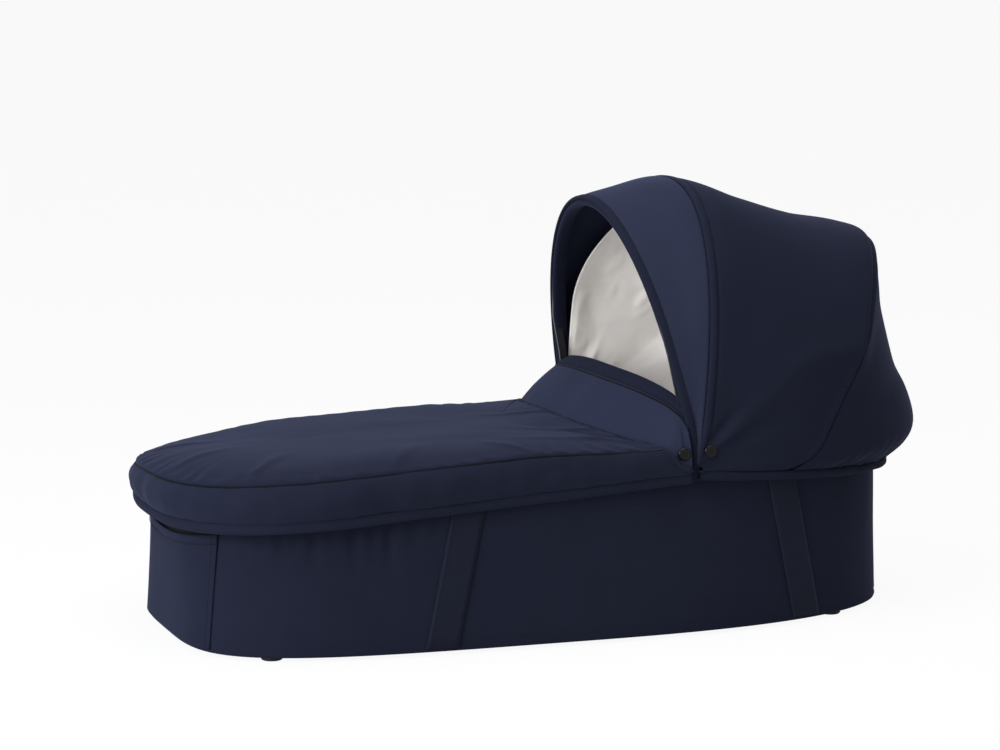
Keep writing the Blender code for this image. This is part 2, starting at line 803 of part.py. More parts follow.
def circle_rings_cutter(name, height):
    """An upright bore for a stay's end, starting just below the end."""
    radius = STAY_RADIUS + SEAT_GAP
    rings = [
        circle_ring((0, 0, -SEAT_GAP), radius, FOOT_SIDES),
        circle_ring((0, 0, height), radius, FOOT_SIDES),
    ]
    cutter = stacked_solid(name, rings, "steel", None)
    hang(cutter, "cot_origin")
    return hide_cutter(cutter)


def build_liner_and_mattress():
    """A cotton bag inside the frame, and the crowned mattress lying in it."""
    floor = BOARD_BOTTOM + BOARD_FLOOR_THICKNESS + SEAT_GAP
    inside = LINER_INSET + LINER_THICKNESS
    rings = [
        tub_ring(floor, LINER_INSET + LINER_THICKNESS),
        tub_ring(floor + LINER_THICKNESS, LINER_INSET),
        tub_ring(RIM_FOOT_HEIGHT / 2, LINER_INSET),
        tub_ring(cover_top, LINER_INSET),
        tub_ring(cover_top, inside),
        tub_ring(RIM_FOOT_HEIGHT / 2, inside),
        tub_ring(floor + LINER_THICKNESS, inside),
    ]
    stacked_solid("inner_liner", rings, "cotton", "cot_origin")
    low = floor + LINER_THICKNESS + SEAT_GAP
    high = low + MATTRESS_THICKNESS
    edge = inside + MATTRESS_GAP
    rings = [
        tub_ring(low, edge + MATTRESS_EDGE_ROUND),
        tub_ring(low + MATTRESS_EDGE_ROUND / 2, edge + MATTRESS_EDGE_ROUND / 5),
        tub_ring((low + high) / 2, edge),
        tub_ring(high - MATTRESS_EDGE_ROUND / 2, edge + MATTRESS_EDGE_ROUND / 4),
    ]
    for crown in MATTRESS_CROWN_SHARES:
        ring = tub_ring(high, edge + MATTRESS_EDGE_ROUND)
        reach = 1 - MATTRESS_CROWN_REACH_SHARE * crown
        for point in ring:
            point.x *= reach
            point.y *= reach
            point.z += MATTRESS_CROWN * math.sin(crown * math.pi / 2)
        rings.append(ring)
    stacked_solid("mattress", rings, "foam", "cot_origin")


def strap_section(place, normal, width_way, side, surface_y):
    """Three points across the webbing's underside and three on its face."""
    under = []
    for k in (-1, 0, 1):
        point = place + width_way * (k * STRAP_WIDTH / 2)
        if surface_y:
            point.y = side * surface_y(point.x, point.z)
        under.append(point)
    over = [point + normal * STRAP_THICKNESS for point in reversed(under)]
    return under + over


def outside_y(x, z):
    return tub_side_y(x, z) + SEAT_GAP


def inside_y(x, z):
    return tub_side_y(x, z) - LINER_INSET - LINER_THICKNESS - HANDLE_STANDOFF


def strap_sections(side):
    """Up the outside at the foot end, over the rim, along inside, and back down outside."""
    out = Vector((0, side, 0))
    sections = []
    ends = (
        (STRAP_FOOT_BOTTOM_X, STRAP_FOOT_TOP_X, False),
        (STRAP_HEAD_BOTTOM_X, STRAP_HEAD_TOP_X, True),
    )
    for bottom_x, top_x, mirrored in ends:
        part = []
        turn_way = -1 if mirrored else 1
        wide = Vector((turn_way, 0, 0))
        top = cover_top(top_x) + STRAP_TOP_GAP
        for share in (0, 1 / 3, 2 / 3, 1):
            height = lerp(STRAP_BOTTOM, top - COVER_THICKNESS, share)
            place = Vector((lerp(bottom_x, top_x, share), 0, height))
            part.append(strap_section(place, out, wide, side, outside_y))
        outer_y = outside_y(top_x, top)
        inner_y = inside_y(top_x, top)
        up = Vector((0, 0, 1))
        for share, lean in ((0.0, out + up), (0.25, up), (0.75, up), (1.0, up - out)):
            place = Vector((top_x, side * lerp(outer_y, inner_y, share), top))
            section = strap_section(place, lean.normalized(), wide, side, None)
            for point in section:
                point.z += cover_top(point.x) - cover_top(top_x)
                point.y += side * (outside_y(point.x, top) - outer_y)
            part.append(section)
        part.append(
            strap_section(
                Vector((top_x, 0, top - COVER_THICKNESS)), -out, wide, side, inside_y
            )
        )
        centre = Vector((top_x + turn_way * HANDLE_TURN_RADIUS, 0, HANDLE_HEIGHT))
        centre.z += HANDLE_TURN_RADIUS
        for k in range(HANDLE_TURN_STEPS + 1):
            turn = math.pi / 2 * k / HANDLE_TURN_STEPS
            spoke = Vector((-turn_way * math.cos(turn), 0, -math.sin(turn)))
            place = centre + spoke * HANDLE_TURN_RADIUS
            part.append(strap_section(place, -out, -spoke, side, inside_y))
        sections.append(part)
    run = [
        strap_section(Vector((x, 0, HANDLE_HEIGHT)), -out, Vector((0, 0, 1)), side, inside_y)
        for x in grip_columns()
    ]
    return sections[0] + run + list(reversed(sections[1]))


def grip_columns():
    middle = (STRAP_FOOT_TOP_X + STRAP_HEAD_TOP_X) / 2
    return [
        middle + GRIP_LENGTH * (k / GRIP_COLUMNS - 1 / 2) for k in range(GRIP_COLUMNS + 1)
    ]


def build_carry_straps():
    for side in (LEFT, RIGHT):
        name = SIDE_NAMES[side]
        sections = strap_sections(side)
        swept_solid(f"carry_strap_{name}", sections, "webbing", "cot_origin")
        outer = []
        inner = []
        for x in grip_columns():
            hole = []
            shell = []
            for up, out in GRIP_RING_SHARES:
                rise = up * (STRAP_WIDTH / 2 + SEAT_GAP)
                depth = out * (STRAP_THICKNESS / 2 + SEAT_GAP)
                hole.append(grip_point(x, rise, depth, side))
                rise += up ** 3 * GRIP_PADDING
                depth += out * GRIP_PADDING * (1 - GRIP_ROUNDING_SHARE * up ** 2)
                shell.append(grip_point(x, rise, depth, side))
            outer.append(shell)
            inner.append(hole)
        sheet_solid(f"handle_grip_{name}", outer, inner, "webbing", "cot_origin", wrap=True)


def grip_point(x, rise, depth, side):
    """A point beside the webbing's middle at x, on the slant of the tub's wall there."""
    z = HANDLE_HEIGHT + rise
    return Vector((x, side * (inside_y(x, z) - STRAP_THICKNESS / 2 + depth), z))


def hood_stations():
    """(angle, reach, half width, squareness) of the hood's section at each station."""
    places = [
        (HEM_ANGLE_DEG, HEM_REACH, HOOD_HALF_WIDTH),
        (HOOD_BULGE_DEG, BULGE_REACH, HOOD_HALF_WIDTH),
        (HOOD_TUCK_DEG, lerp(WAIST_REACH, BULGE_REACH, HOOD_TUCK_SHARE), HOOD_HALF_WIDTH),
        (HOOD_WAIST_DEG, WAIST_REACH, HOOD_HALF_WIDTH),
        (HOOD_BACK_DEG, BACK_REACH, HOOD_HALF_WIDTH),
        (HOOD_SHELF_DEG, lerp(BACK_REACH, RIDGE_REACH, HOOD_SHELF_SHARE), HOOD_HALF_WIDTH),
        (RIDGE_ANGLE_DEG, RIDGE_REACH, HOOD_HALF_WIDTH),
        (HOOD_SHOULDER_DEG, SHOULDER_REACH, HOOD_HALF_WIDTH),
        (HOOD_CROWN_DEG, CROWN_REACH, HOOD_HALF_WIDTH),
        (MIDDLE_ANGLE_DEG, MIDDLE_REACH, HOOD_HALF_WIDTH),
        (VISOR_ANGLE_DEG, VISOR_REACH, VISOR_HALF_WIDTH),
    ]
    return [(*place, power) for place, power in zip(places, HOOD_SQUARENESS)]


def hood_section(angle_deg):
    """Reach, half width and squareness of the hood where its section stands at an angle."""
    stations = hood_stations()
    if angle_deg <= stations[0][0]:
        return stations[0][1:]
    for low, high in zip(stations, stations[1:]):
        if angle_deg <= high[0]:
            share = (angle_deg - low[0]) / (high[0] - low[0])
            return tuple(lerp(a, b, share) for a, b in zip(low[1:], high[1:]))
    return stations[-1][1:]


def seam_angle(turn_deg):
    """Angle of the rear seam: low at the sides, up at the ridge over the middle."""
    off = min(abs(90 - turn_deg) / (90 - SEAM_START_DEG), 1)
    return RIDGE_ANGLE_DEG - (RIDGE_ANGLE_DEG - HEM_ANGLE_DEG) * off ** SEAM_CURVE


def station_angle(angle_deg, turn_deg):
    """Station whose section shapes the skin here, so that the ridge follows the seam."""
    if angle_deg >= MIDDLE_ANGLE_DEG:
        return angle_deg
    seam = seam_angle(turn_deg)
    if angle_deg >= seam:
        share = (angle_deg - seam) / (MIDDLE_ANGLE_DEG - seam)
        drawn = lerp(RIDGE_ANGLE_DEG, MIDDLE_ANGLE_DEG, share)
    else:
        share = (angle_deg - HEM_ANGLE_DEG) / (seam - HEM_ANGLE_DEG)
        drawn = lerp(HEM_ANGLE_DEG, RIDGE_ANGLE_DEG, share)
    off = min(turn_deg, 180 - turn_deg) - SEAM_START_DEG
    fade = min(max(off / (SEAM_FULL_DEG - SEAM_START_DEG), 0), 1)
    return lerp(angle_deg, drawn, fade * fade * (3 - 2 * fade))


def hood_point(angle_deg, turn, inset):
    """Point of the hood's skin; turn runs 0 to pi from the left side over to the right."""
    station = station_angle(angle_deg, math.degrees(turn))
    reach, half_width, power = hood_section(station)
    reach -= inset
    half_width -= inset
    up = math.sin(turn) ** (2 / power)
    aside = math.copysign(abs(math.cos(turn)) ** (2 / power), math.cos(turn))
    angle = math.radians(angle_deg)
    return Vector((
        HOOD_FAN_X + reach * up * math.cos(angle),
        half_width * aside,
        HOOD_FAN_Z + reach * up * math.sin(angle),
    ))


def hood_turn_at(angle_deg, radius):
    """Turn at which the hood's skin is a radius away from the fan point, on the left."""
    reach, _, power = hood_section(angle_deg)
    return math.asin((radius / reach) ** (power / 2))


def hood_side_y(x, z):
    """Half width of the hood's outer face beside a point near its lower front corner."""
    angle_deg = math.degrees(math.atan2(z - HOOD_FAN_Z, x - HOOD_FAN_X))
    radius = math.hypot(z - HOOD_FAN_Z, x - HOOD_FAN_X)
    return hood_point(angle_deg, hood_turn_at(angle_deg, radius), 0).y


def hood_turns(first_deg=0):
    """Even turns across the hood from the hub circle, less those before the first."""
    start = math.degrees(hood_turn_at(MIDDLE_ANGLE_DEG, HOOD_HUB_REACH))
    turns = [
        lerp(start, 180 - start, k / HOOD_COLUMNS) for k in range(HOOD_COLUMNS + 1)
    ]
    return [turn for turn in turns if first_deg <= turn <= 180 - first_deg]


def hood_sheet(name, top_of, bottom_of, rows, inset, thickness, finish, pivot, first=0):
    """A panel of the hood between two angles, each a function of the turn across it."""
    outer = []
    inner = []
    for k in range(rows + 1):
        row_out = []
        row_in = []
        for turn_deg in hood_turns(first):
            angle = lerp(top_of(turn_deg), bottom_of(turn_deg), k / rows)
            turn = math.radians(turn_deg)
            row_out.append(hood_point(angle, turn, inset))
            row_in.append(hood_point(angle, turn, inset + thickness))
        outer.append(row_out)
        inner.append(row_in)
    return sheet_solid(name, outer, inner, finish, pivot)


def build_hood_panels():
    """Visor, main panel and rear panel, with a cotton lining under the last two."""
    gap = HOOD_SEAM_GAP_DEG

    def middle_front(_):
        return MIDDLE_ANGLE_DEG + gap

    def middle_back(_):
        return MIDDLE_ANGLE_DEG - gap

    def seam_front(turn_deg):
        if min(turn_deg, 180 - turn_deg) < rear_start:
            return HEM_ANGLE_DEG
        return max(seam_angle(turn_deg), HEM_ANGLE_DEG + gap * SEAM_STAND_GAPS) + gap

    def seam_back(turn_deg):
        return max(seam_angle(turn_deg), HEM_ANGLE_DEG + gap * SEAM_STAND_GAPS) - gap

    def visor_edge(_):
        return VISOR_ANGLE_DEG

    def hem(_):
        return HEM_ANGLE_DEG

    def lining_hem(turn_deg):
        reach, _, power = hood_section(HEM_ANGLE_DEG)
        radius = reach * math.sin(math.radians(turn_deg)) ** (2 / power)
        return math.degrees(math.asin(LINING_HEM_RISE / radius))

    def ridge_front(_):
        return RIDGE_ANGLE_DEG + gap

    def ridge_back(_):
        return RIDGE_ANGLE_DEG - gap

    rear_start = SEAM_START_DEG * REAR_PANEL_START_SHARE
    skin = HOOD_SKIN_THICKNESS
    lining = HOOD_LINING_THICKNESS
    deep = HOOD_LINING_INSET
    lined = math.degrees(hood_turn_at(MIDDLE_ANGLE_DEG, HOOD_LINING_START))
    hood_sheet(
        "hood_visor", visor_edge, middle_front, VISOR_ROWS, 0, skin, "navy_twill",
        "front_bow_axis",
    )
    hood_sheet(
        "hood_main_panel", middle_back, seam_front, PANEL_ROWS, 0, skin, "navy_twill",
        "middle_bow_axis",
    )
    hood_sheet(
        "hood_rear_panel", seam_back, hem, PANEL_ROWS, 0, skin, "navy_twill", "cot_origin",
        rear_start,
    )
    hood_sheet(
        "hood_lining_main", middle_back, ridge_front, LINING_MAIN_ROWS, deep, lining, "cotton",
        "middle_bow_axis", lined,
    )
    hood_sheet(
        "hood_lining_rear", ridge_back, lining_hem, LINING_REAR_ROWS, deep, lining, "cotton",
        "cot_origin", lined,
    )


def build_hood_hem():
    """The bound edge that runs round the head end below the rear panel."""
    outer = []
    inner = []
    for drop in (SEAT_GAP, HOOD_HEM_HEIGHT):
        row_out = []
        row_in = []
        for turn_deg in hood_turns():
            turn = math.radians(turn_deg)
            down = Vector((0, 0, -drop))
            row_out.append(hood_point(HEM_ANGLE_DEG, turn, 0) + down)
            row_in.append(hood_point(HEM_ANGLE_DEG, turn, HOOD_HEM_THICKNESS) + down)
        outer.append(row_out)
        inner.append(row_in)
    return sheet_solid("hood_hem", outer, inner, "navy_twill", "cot_origin")


def hood_pivot():
    return Vector((HOOD_FAN_X, 0, HOOD_FAN_Z + HOOD_PIVOT_RISE))


def hub_y(layer):
    """Distance from the middle to a hub's inner face; layer 0 lies against the bracket."""
    return bracket_face_y() + SEAT_GAP + layer * (HUB_THICKNESS + SEAT_GAP)


def bracket_face_y():
    return tub_side_y(HOOD_FAN_X, RIM_HINGE_HEIGHT) - RIM_TUBE_INSET + BRACKET_THICKNESS / 8


def bow_sections(angle_deg, layer, skin_gap):
    """Flat bow under the skin: straight legs from the hubs, then the skin's own curve."""
    pivot = hood_pivot()
    inset = HOOD_SKIN_THICKNESS + skin_gap + BOW_THICKNESS / 2
    angle = math.radians(angle_deg)
    along = Vector((-math.sin(angle), 0, math.cos(angle)))
    start = math.degrees(hood_turn_at(angle_deg, BOW_JOIN_REACH))
    count = HOOD_COLUMNS
    run = []
    for k in range(count + 1):
        turn = math.radians(lerp(start, 180 - start, k / count))
        place = hood_point(angle_deg, turn, inset)
        ahead = hood_point(angle_deg, turn + TANGENT_TURN, inset)
        behind = hood_point(angle_deg, turn - TANGENT_TURN, inset)
        run.append((place, (ahead - behind).normalized(), along))
    legs = []
    for side, (join, way, _) in ((LEFT, run[0]), (RIGHT, run[-1])):
        hub = pivot.copy()
        hub.y = side * (hub_y(layer) + HUB_THICKNESS / 2)
        flat = Vector((join.x - pivot.x, 0, join.z - pivot.z)).normalized()
        turned = Vector((-flat.z, 0, flat.x))
        knee = pivot + flat * BOW_JOGGLE_REACH
        knee.y = lerp(hub.y, join.y, BOW_KNEE_SHARE)
        near = pivot + flat * HUB_RADIUS * BOW_NECK_SHARE
        near.y = hub.y
        legs.append([(hub, flat, turned), (near, flat, turned), (knee, flat, turned)])
    right = [(place, -way, turned) for place, way, turned in reversed(legs[1])]
    return legs[0] + run + right


def build_bow(name, angle_deg, layer, pivot_name, skin_gap=BOW_SKIN_GAP):
    """One bow: a swept strap of nylon with a round hub joined on at each end."""
    sections = []
    for place, way, along in bow_sections(angle_deg, layer, skin_gap):
        out = way.cross(along).normalized()
        across = along * (BOW_WIDTH / 2)
        deep = out * (BOW_THICKNESS / 2)
        sections.append([
            place - across - deep,
            place + across - deep,
            place + across + deep,
            place - across + deep,
        ])
    thin = HUB_THICKNESS / BOW_THICKNESS
    for k in (0, 1, -2, -1):
        middle = sum(sections[k], Vector()) / 4
        sections[k] = [
            Vector((p.x, lerp(middle.y, p.y, thin), p.z)) for p in sections[k]
        ]
    bow = swept_solid(name, sections, "nylon", pivot_name)
    pivot = hood_pivot()
    for side in (LEFT, RIGHT):
        for suffix, radius, overrun, operation in (
            ("hub", HUB_RADIUS, 0, "UNION"),
            ("hole", PIN_RADIUS + PIN_CLEARANCE, CUT_OVERRUN, "DIFFERENCE"),
        ):
            low = hub_y(layer) - overrun
            high = hub_y(layer) + HUB_THICKNESS + overrun
            rings = [
                circle_ring((pivot.x, side * low, pivot.z), radius, HUB_SIDES, "Y"),
                circle_ring((pivot.x, side * high, pivot.z), radius, HUB_SIDES, "Y"),
            ]
            tool_name = f"{name}_{suffix}_{SIDE_NAMES[side]}"
            tool = stacked_solid(tool_name, rings, "nylon", None)
            boolean(bow, hide_cutter(tool), operation)
    return bow


def build_hood_frame():
    """Brackets on the rim, pins through the hubs, and the three bows stacked on them."""
    build_bow("front_bow", VISOR_ANGLE_DEG - FRONT_BOW_SETBACK_DEG, 0, "front_bow_axis")
    build_bow("rear_bow", RIDGE_ANGLE_DEG, 1, "rear_bow_axis", REAR_BOW_SKIN_GAP)
    build_bow("middle_bow", MIDDLE_ANGLE_DEG, 2, "middle_bow_axis")
    pivot = hood_pivot()
    rim = rim_height(HOOD_FAN_X)
    face = bracket_face_y()
    outermost = hub_y(2) + HUB_THICKNESS + SEAT_GAP
    for side in (LEFT, RIGHT):
        name = SIDE_NAMES[side]
        build = bmesh.new()
        made = bmesh.ops.create_cube(build, size=1.0)
        low = Vector((-BRACKET_LENGTH / 2, -BRACKET_THICKNESS / 2, rim + BRACKET_FOOT_DROP))
        high = Vector((BRACKET_LENGTH / 2, BRACKET_THICKNESS / 2, pivot.z + HUB_RADIUS))
        for vert in made["verts"]:
            vert.co = Vector(lerp(a, b, 0.5 + c) for a, b, c in zip(low, high, vert.co))
        bracket = finish_mesh(f"hood_bracket_{name}", build, "nylon", None, smooth=False)
        bracket.location = (HOOD_FAN_X, side * (face - BRACKET_THICKNESS / 2), 0)
        hang(bracket, "cot_origin")
        edge = bracket.modifiers.new("edges", "BEVEL")
        edge.width = BRACKET_CHAMFER
        edge.segments = 1
        saddle_points = [
            point for point in tub_ring(rim_height, RIM_TUBE_INSET) if point.y * side > 0
            and abs(point.x - HOOD_FAN_X) < BRACKET_LENGTH * 4
        ]
        saddle_points.sort(key=lambda point: point.x)
        saddle = tube_curve(
            f"rim_saddle_{name}", saddle_points, RIM_TUBE_RADIUS + SEAT_GAP, "aluminium", None,
            resolution=3,
        )
        hang(saddle, "cot_origin")
        rings = [
            circle_ring((pivot.x, side * (face - BRACKET_THICKNESS - CUT_OVERRUN), pivot.z),
                        PIN_RADIUS + PIN_CLEARANCE, HUB_SIDES, "Y"),
            circle_ring((pivot.x, side * (face + CUT_OVERRUN), pivot.z),
                        PIN_RADIUS + PIN_CLEARANCE, HUB_SIDES, "Y"),
        ]
        bore = stacked_solid(f"bracket_bore_{name}", rings, "nylon", None)
        hang(bore, "cot_origin")
        for tool in (mesh_cutter_from(saddle), hide_cutter(bore)):
            step = bracket.modifiers.new(tool.name, "BOOLEAN")
            step.operation = "DIFFERENCE"
            step.object = tool
            step.solver = "EXACT"
        profile = [
            (PIN_HEAD_RADIUS, outermost + PIN_HEAD_HEIGHT),
            (PIN_HEAD_RADIUS, outermost),
            (PIN_RADIUS, outermost),
            (PIN_RADIUS, face - BRACKET_THICKNESS),
        ]
        place = (pivot.x, 0, pivot.z)
        turned_solid(
            f"hood_pin_{name}", place, profile, HUB_SIDES, "steel", "cot_origin", "Y", side
        )


def mesh_cutter_from(curve_item):
    """A hidden mesh copy of a tube, for cutting its saddle."""
    points = [Vector(p.co[:3]) for p in curve_item.data.splines[0].points]
    radius = curve_item.data.bevel_depth
    name = curve_item.name
    bpy.data.objects.remove(curve_item, do_unlink=True)
    sections = []
    for k, point in enumerate(points):
        ahead = points[min(k + 1, len(points) - 1)] - points[max(k - 1, 0)]
        ahead.normalize()
        side = ahead.cross(Vector((0, 0, 1))).normalized()
        up = side.cross(ahead)
        ring = []
        for j in range(HUB_SIDES):
            turn = 2 * math.pi * j / HUB_SIDES
            ring.append(point + side * (radius * math.cos(turn)) + up * (radius * math.sin(turn)))
        sections.append(ring)
    cutter = swept_solid(name, sections, "aluminium", None)
    hang(cutter, "cot_origin")
    return hide_cutter(cutter)


def apron_plane(x):
    """Height of the piped edge at x."""
    return APRON_LEVEL + APRON_SLOPE * x


def apron_seat(x):
    """Underside of the apron: it lies on the straps where they cross the rim."""
    return cover_top(x) + APRON_SEAT_RISE + SEAT_GAP


def apron_hem_line(x):
    knots = [
        (-APRON_FOOT_REACH, APRON_HEM_FOOT),
        (APRON_HEM_MIDDLE_X, APRON_HEM_MIDDLE),
        (HOOD_FAN_X, APRON_HEM_HEAD),
    ]
    return parabola(x, knots)


def apron_outline_point(share, end_x):
    """Share 0 to 1 from the left corner at end_x round the foot end to the right one."""
    half_width = APRON_WIDTH / 2
    centre_x = half_width - APRON_FOOT_REACH
    bend = oval_outline(APRON_WIDTH, APRON_WIDTH, APRON_SQUARENESS, APRON_SQUARENESS)
    length = bend[-1][4] / 2
    straight = end_x - centre_x
    travel = share * (length + 2 * straight)
    if travel < straight:
        return Vector((end_x - travel, half_width, 0)), Vector((0, 1, 0))
    if travel > straight + length:
        back = travel - straight - length
        return Vector((centre_x + back, -half_width, 0)), Vector((0, -1, 0))
    place, normal = outline_point(bend, 0.25 + (travel - straight) / bend[-1][4])
    place.x += centre_x
    return place, normal


def foot_share(x):
    """1 at the foot tip of the apron, fading to 0 over its rounded end."""
    reach = (x + APRON_FOOT_REACH) / (APRON_WIDTH / 2)
    return max(0, 1 - reach) ** 2


def flap_seam_knots():
    corner = APRON_CORNER_X
    half = APRON_WIDTH / 2
    near_end_x = lerp(FLAP_END_X, corner, FLAP_SEAM_CORNER_SHARE)
    knots = [
        (FLAP_END_X, FLAP_END_Y, FLAP_END_Z),
        (near_end_x, FLAP_END_Y, FLAP_END_Z + PIPING_RADIUS * 2),
        (corner + SNAP_RADIUS, half * FLAP_SEAM_SIDE_SHARE, FLAP_SNAP_Z),
    ]
    for run, wide, drop in FLAP_SEAM_SHARES:
        knots.append((lerp(corner, FLAP_SEAM_X, run), half * wide, FLAP_SEAM_Z - FLAP_BULGE * drop))
    return knots + [(FLAP_SEAM_X, 0, FLAP_SEAM_Z)]


def flap_top_knots():
    half = APRON_WIDTH / 2
    drop = FLAP_TOP_Z - FLAP_SNAP_Z
    knots = []
    for run, wide, fall in FLAP_TOP_SHARES:
        knots.append((lerp(FLAP_END_X, FLAP_TOP_X, run), half * wide, FLAP_TOP_Z - drop * fall))
    return knots + [(FLAP_TOP_X, 0, FLAP_TOP_Z)]


def across_curve(knots, share):
    """Point on a curve given for the left half only; share 0 to 1 from left to right."""
    half = 1 - abs(2 * share - 1)
    point = curve_through(knots, half)
    if share > 0.5:
        point.y = -point.y
    return point


def apron_boundary(inset):
    """The apron top's edge: round the foot end, then back along the flap's seam."""
    points = []
    for k in range(APRON_ARC_POINTS + 1):
        place, normal = apron_outline_point(k / APRON_ARC_POINTS, APRON_CORNER_X)
        place -= normal * inset
        place.z = apron_plane(place.x)
        points.append(place)
    for k in range(1, APRON_SEAM_POINTS):
        wide = lerp(-1, 1, k / APRON_SEAM_POINTS)
        points.append(seam_point_at(points[0].y * wide))
    return points


def seam_point_at(y):
    """Point of the apron's head edge at y, just short of the flap's seam."""
    knots = flap_seam_knots()
    low, high = 0.0, 0.5
    for _ in range(30):
        middle = (low + high) / 2
        if across_curve(knots, middle).y > abs(y):
            low = middle
        else:
            high = middle
    place = across_curve(knots, low)
    place.x = min(place.x, APRON_CORNER_X) - FLAP_THICKNESS
    place.y = y
    return place


def build_apron_top():
    """The padded top panel, crowned over the opening and resting near the rim."""
    edge = apron_boundary(PIPING_RADIUS + SEAT_GAP)
    tucked = apron_boundary(APRON_BAND_THICKNESS + SEAT_GAP * APRON_TUCK_GAPS)
    centre_x = sum(point.x for point in edge) / len(edge)
    bottom = []
    for share in APRON_UNDER_SHARES:
        ring = []
        for point in tucked:
            x = lerp(centre_x, point.x, share)
            ring.append(Vector((x, point.y * share, apron_seat(x))))
        bottom.append(ring)
    bottom.append([point - Vector((0, 0, PIPING_RADIUS)) for point in tucked])
    top = []
    for share, crown in zip(APRON_RING_SHARES, APRON_CROWN_SHARES):
        ring = []
        for point in edge:
            x = lerp(centre_x, point.x, share)
            lift = (point.z - apron_plane(point.x)) * share ** 2
            z = apron_plane(x) + lift + APRON_CROWN * crown
            ring.append(Vector((x, point.y * share, z)))
        top.append(ring)
    return stacked_solid("apron_top", bottom + top, "navy_twill", "apron_slide")


def build_apron_band():
    """The puffed side band, its flat bound hem and the piping between band and top."""
    count = APRON_BAND_POINTS
    band_out = []
    band_in = []
    for drop, puff in zip(BAND_DROP_SHARES, BAND_PUFF_SHARES):
        row_out = []
        row_in = []
        for k in range(count + 1):
            place, normal = apron_outline_point(k / count, APRON_BAND_END_X)
            x = place.x
            top = band_top(x)
            low = apron_hem_line(x) + APRON_HEM_HEIGHT + SEAT_GAP
            swell = APRON_BAND_BULGE + APRON_FOOT_BULGE * foot_share(x)
            fade = min(1, max(0, (APRON_BAND_END_X - x) / APRON_HEM_HEIGHT))
            out = place + normal * (swell * puff * fade)
            out.z = lerp(top, low, drop)
            row_out.append(out)
            row_in.append(out - normal * APRON_BAND_THICKNESS)
        band_out.append(row_out)
        band_in.append(row_in)
    sheet_solid("apron_band", band_out, band_in, "navy_twill", "apron_slide")
    hem_out = []
    hem_in = []
    for rise in (APRON_HEM_HEIGHT, 0):
        row_out = []
        row_in = []
        for k in range(count + 1):
            place, normal = apron_outline_point(k / count, APRON_BAND_END_X)
            out = place - normal * APRON_HEM_INSET
            out.z = apron_hem_line(place.x) + rise
            row_out.append(out)
            row_in.append(out - normal * APRON_HEM_THICKNESS)
        hem_out.append(row_out)
        hem_in.append(row_in)
    sheet_solid("apron_hem", hem_out, hem_in, "navy_twill", "apron_slide")
    points = []
    for k in range(APRON_ARC_POINTS + 1):
        place, _ = apron_outline_point(k / APRON_ARC_POINTS, APRON_CORNER_X)
        place.z = apron_plane(place.x)
        points.append(place)
    tube_curve("apron_piping", points, PIPING_RADIUS, "navy_twill", "apron_slide")


def band_top(x):
    """Top of the side band: under the piping, then down beside the flap's corner."""
    below = apron_plane(x) - PIPING_RADIUS - SEAT_GAP
    if x <= APRON_CORNER_X:
        return below
    share = (x - APRON_CORNER_X) / (APRON_BAND_END_X - APRON_CORNER_X)
    corner = FLAP_END_Z - PIPING_RADIUS
    return lerp(apron_plane(APRON_CORNER_X) - PIPING_RADIUS, corner, share ** BAND_CORNER_POWER)


def build_wind_flap():
    """The raised panel at the apron's head end and the binding along its top edge."""
    seam = flap_seam_knots()
    top = flap_top_knots()
    outer = []
    inner = []
    for j in range(FLAP_ROWS + 1):
        rise = j / FLAP_ROWS
        row_out = []
        row_in = []
        for k in range(FLAP_COLUMNS + 1):
            share = k / FLAP_COLUMNS
            low = across_curve(seam, share)
            high = across_curve(top, share)
            slope = (high - low).normalized()
            along = across_curve(seam, min(share + FLAP_STEP_SHARE, 1))
            along = along - across_curve(seam, max(share - FLAP_STEP_SHARE, 0))
            out = slope.cross(along).normalized()
            if out.z < 0 and abs(low.y) < APRON_WIDTH / 4:
                out = -out
            if abs(low.y) >= APRON_WIDTH / 4 and out.y * low.y < 0:
                out = -out
            place = low.lerp(high, rise) + out * (FLAP_BULGE * math.sin(math.pi * rise))
            row_out.append(place)
            row_in.append(place - out * FLAP_THICKNESS)
        outer.append(row_out)
        inner.append(row_in)
    sheet_solid("wind_flap", outer, inner, "navy_twill", "flap_axis")
    points = []
    for k in range(FLAP_COLUMNS + 1):
        share = k / FLAP_COLUMNS
        low = across_curve(seam, share)
        high = across_curve(top, share)
        slope = (high - low).normalized()
        points.append(high + slope * (FLAP_BINDING_RADIUS + FLAP_THICKNESS * FLAP_BINDING_STEP_SHARE))
    tube_curve("wind_flap_binding", points, FLAP_BINDING_RADIUS, "navy_twill", "flap_axis")


def side_reach(name, x, z, radius, side):
    """How far out a node's side comes under a round cap centred at (x, z)."""
    solid = bpy.data.objects[name]
    bpy.context.view_layer.update()
    tree = BVHTree.FromObject(solid, bpy.context.evaluated_depsgraph_get())
    to_local = solid.matrix_world.inverted() @ bpy.data.objects["cot_origin"].matrix_world
    reaches = []
    for k in range(SNAP_SIDES):
        turn = 2 * math.pi * k / SNAP_SIDES
        start = Vector((x + radius * math.cos(turn), side * BASE_WIDTH, z + radius * math.sin(turn)))
        hit = tree.ray_cast(to_local @ start, Vector((0, -side, 0)))[0]
        if hit is not None:
            reaches.append(abs((solid.matrix_world @ hit).y))
    return max(reaches)


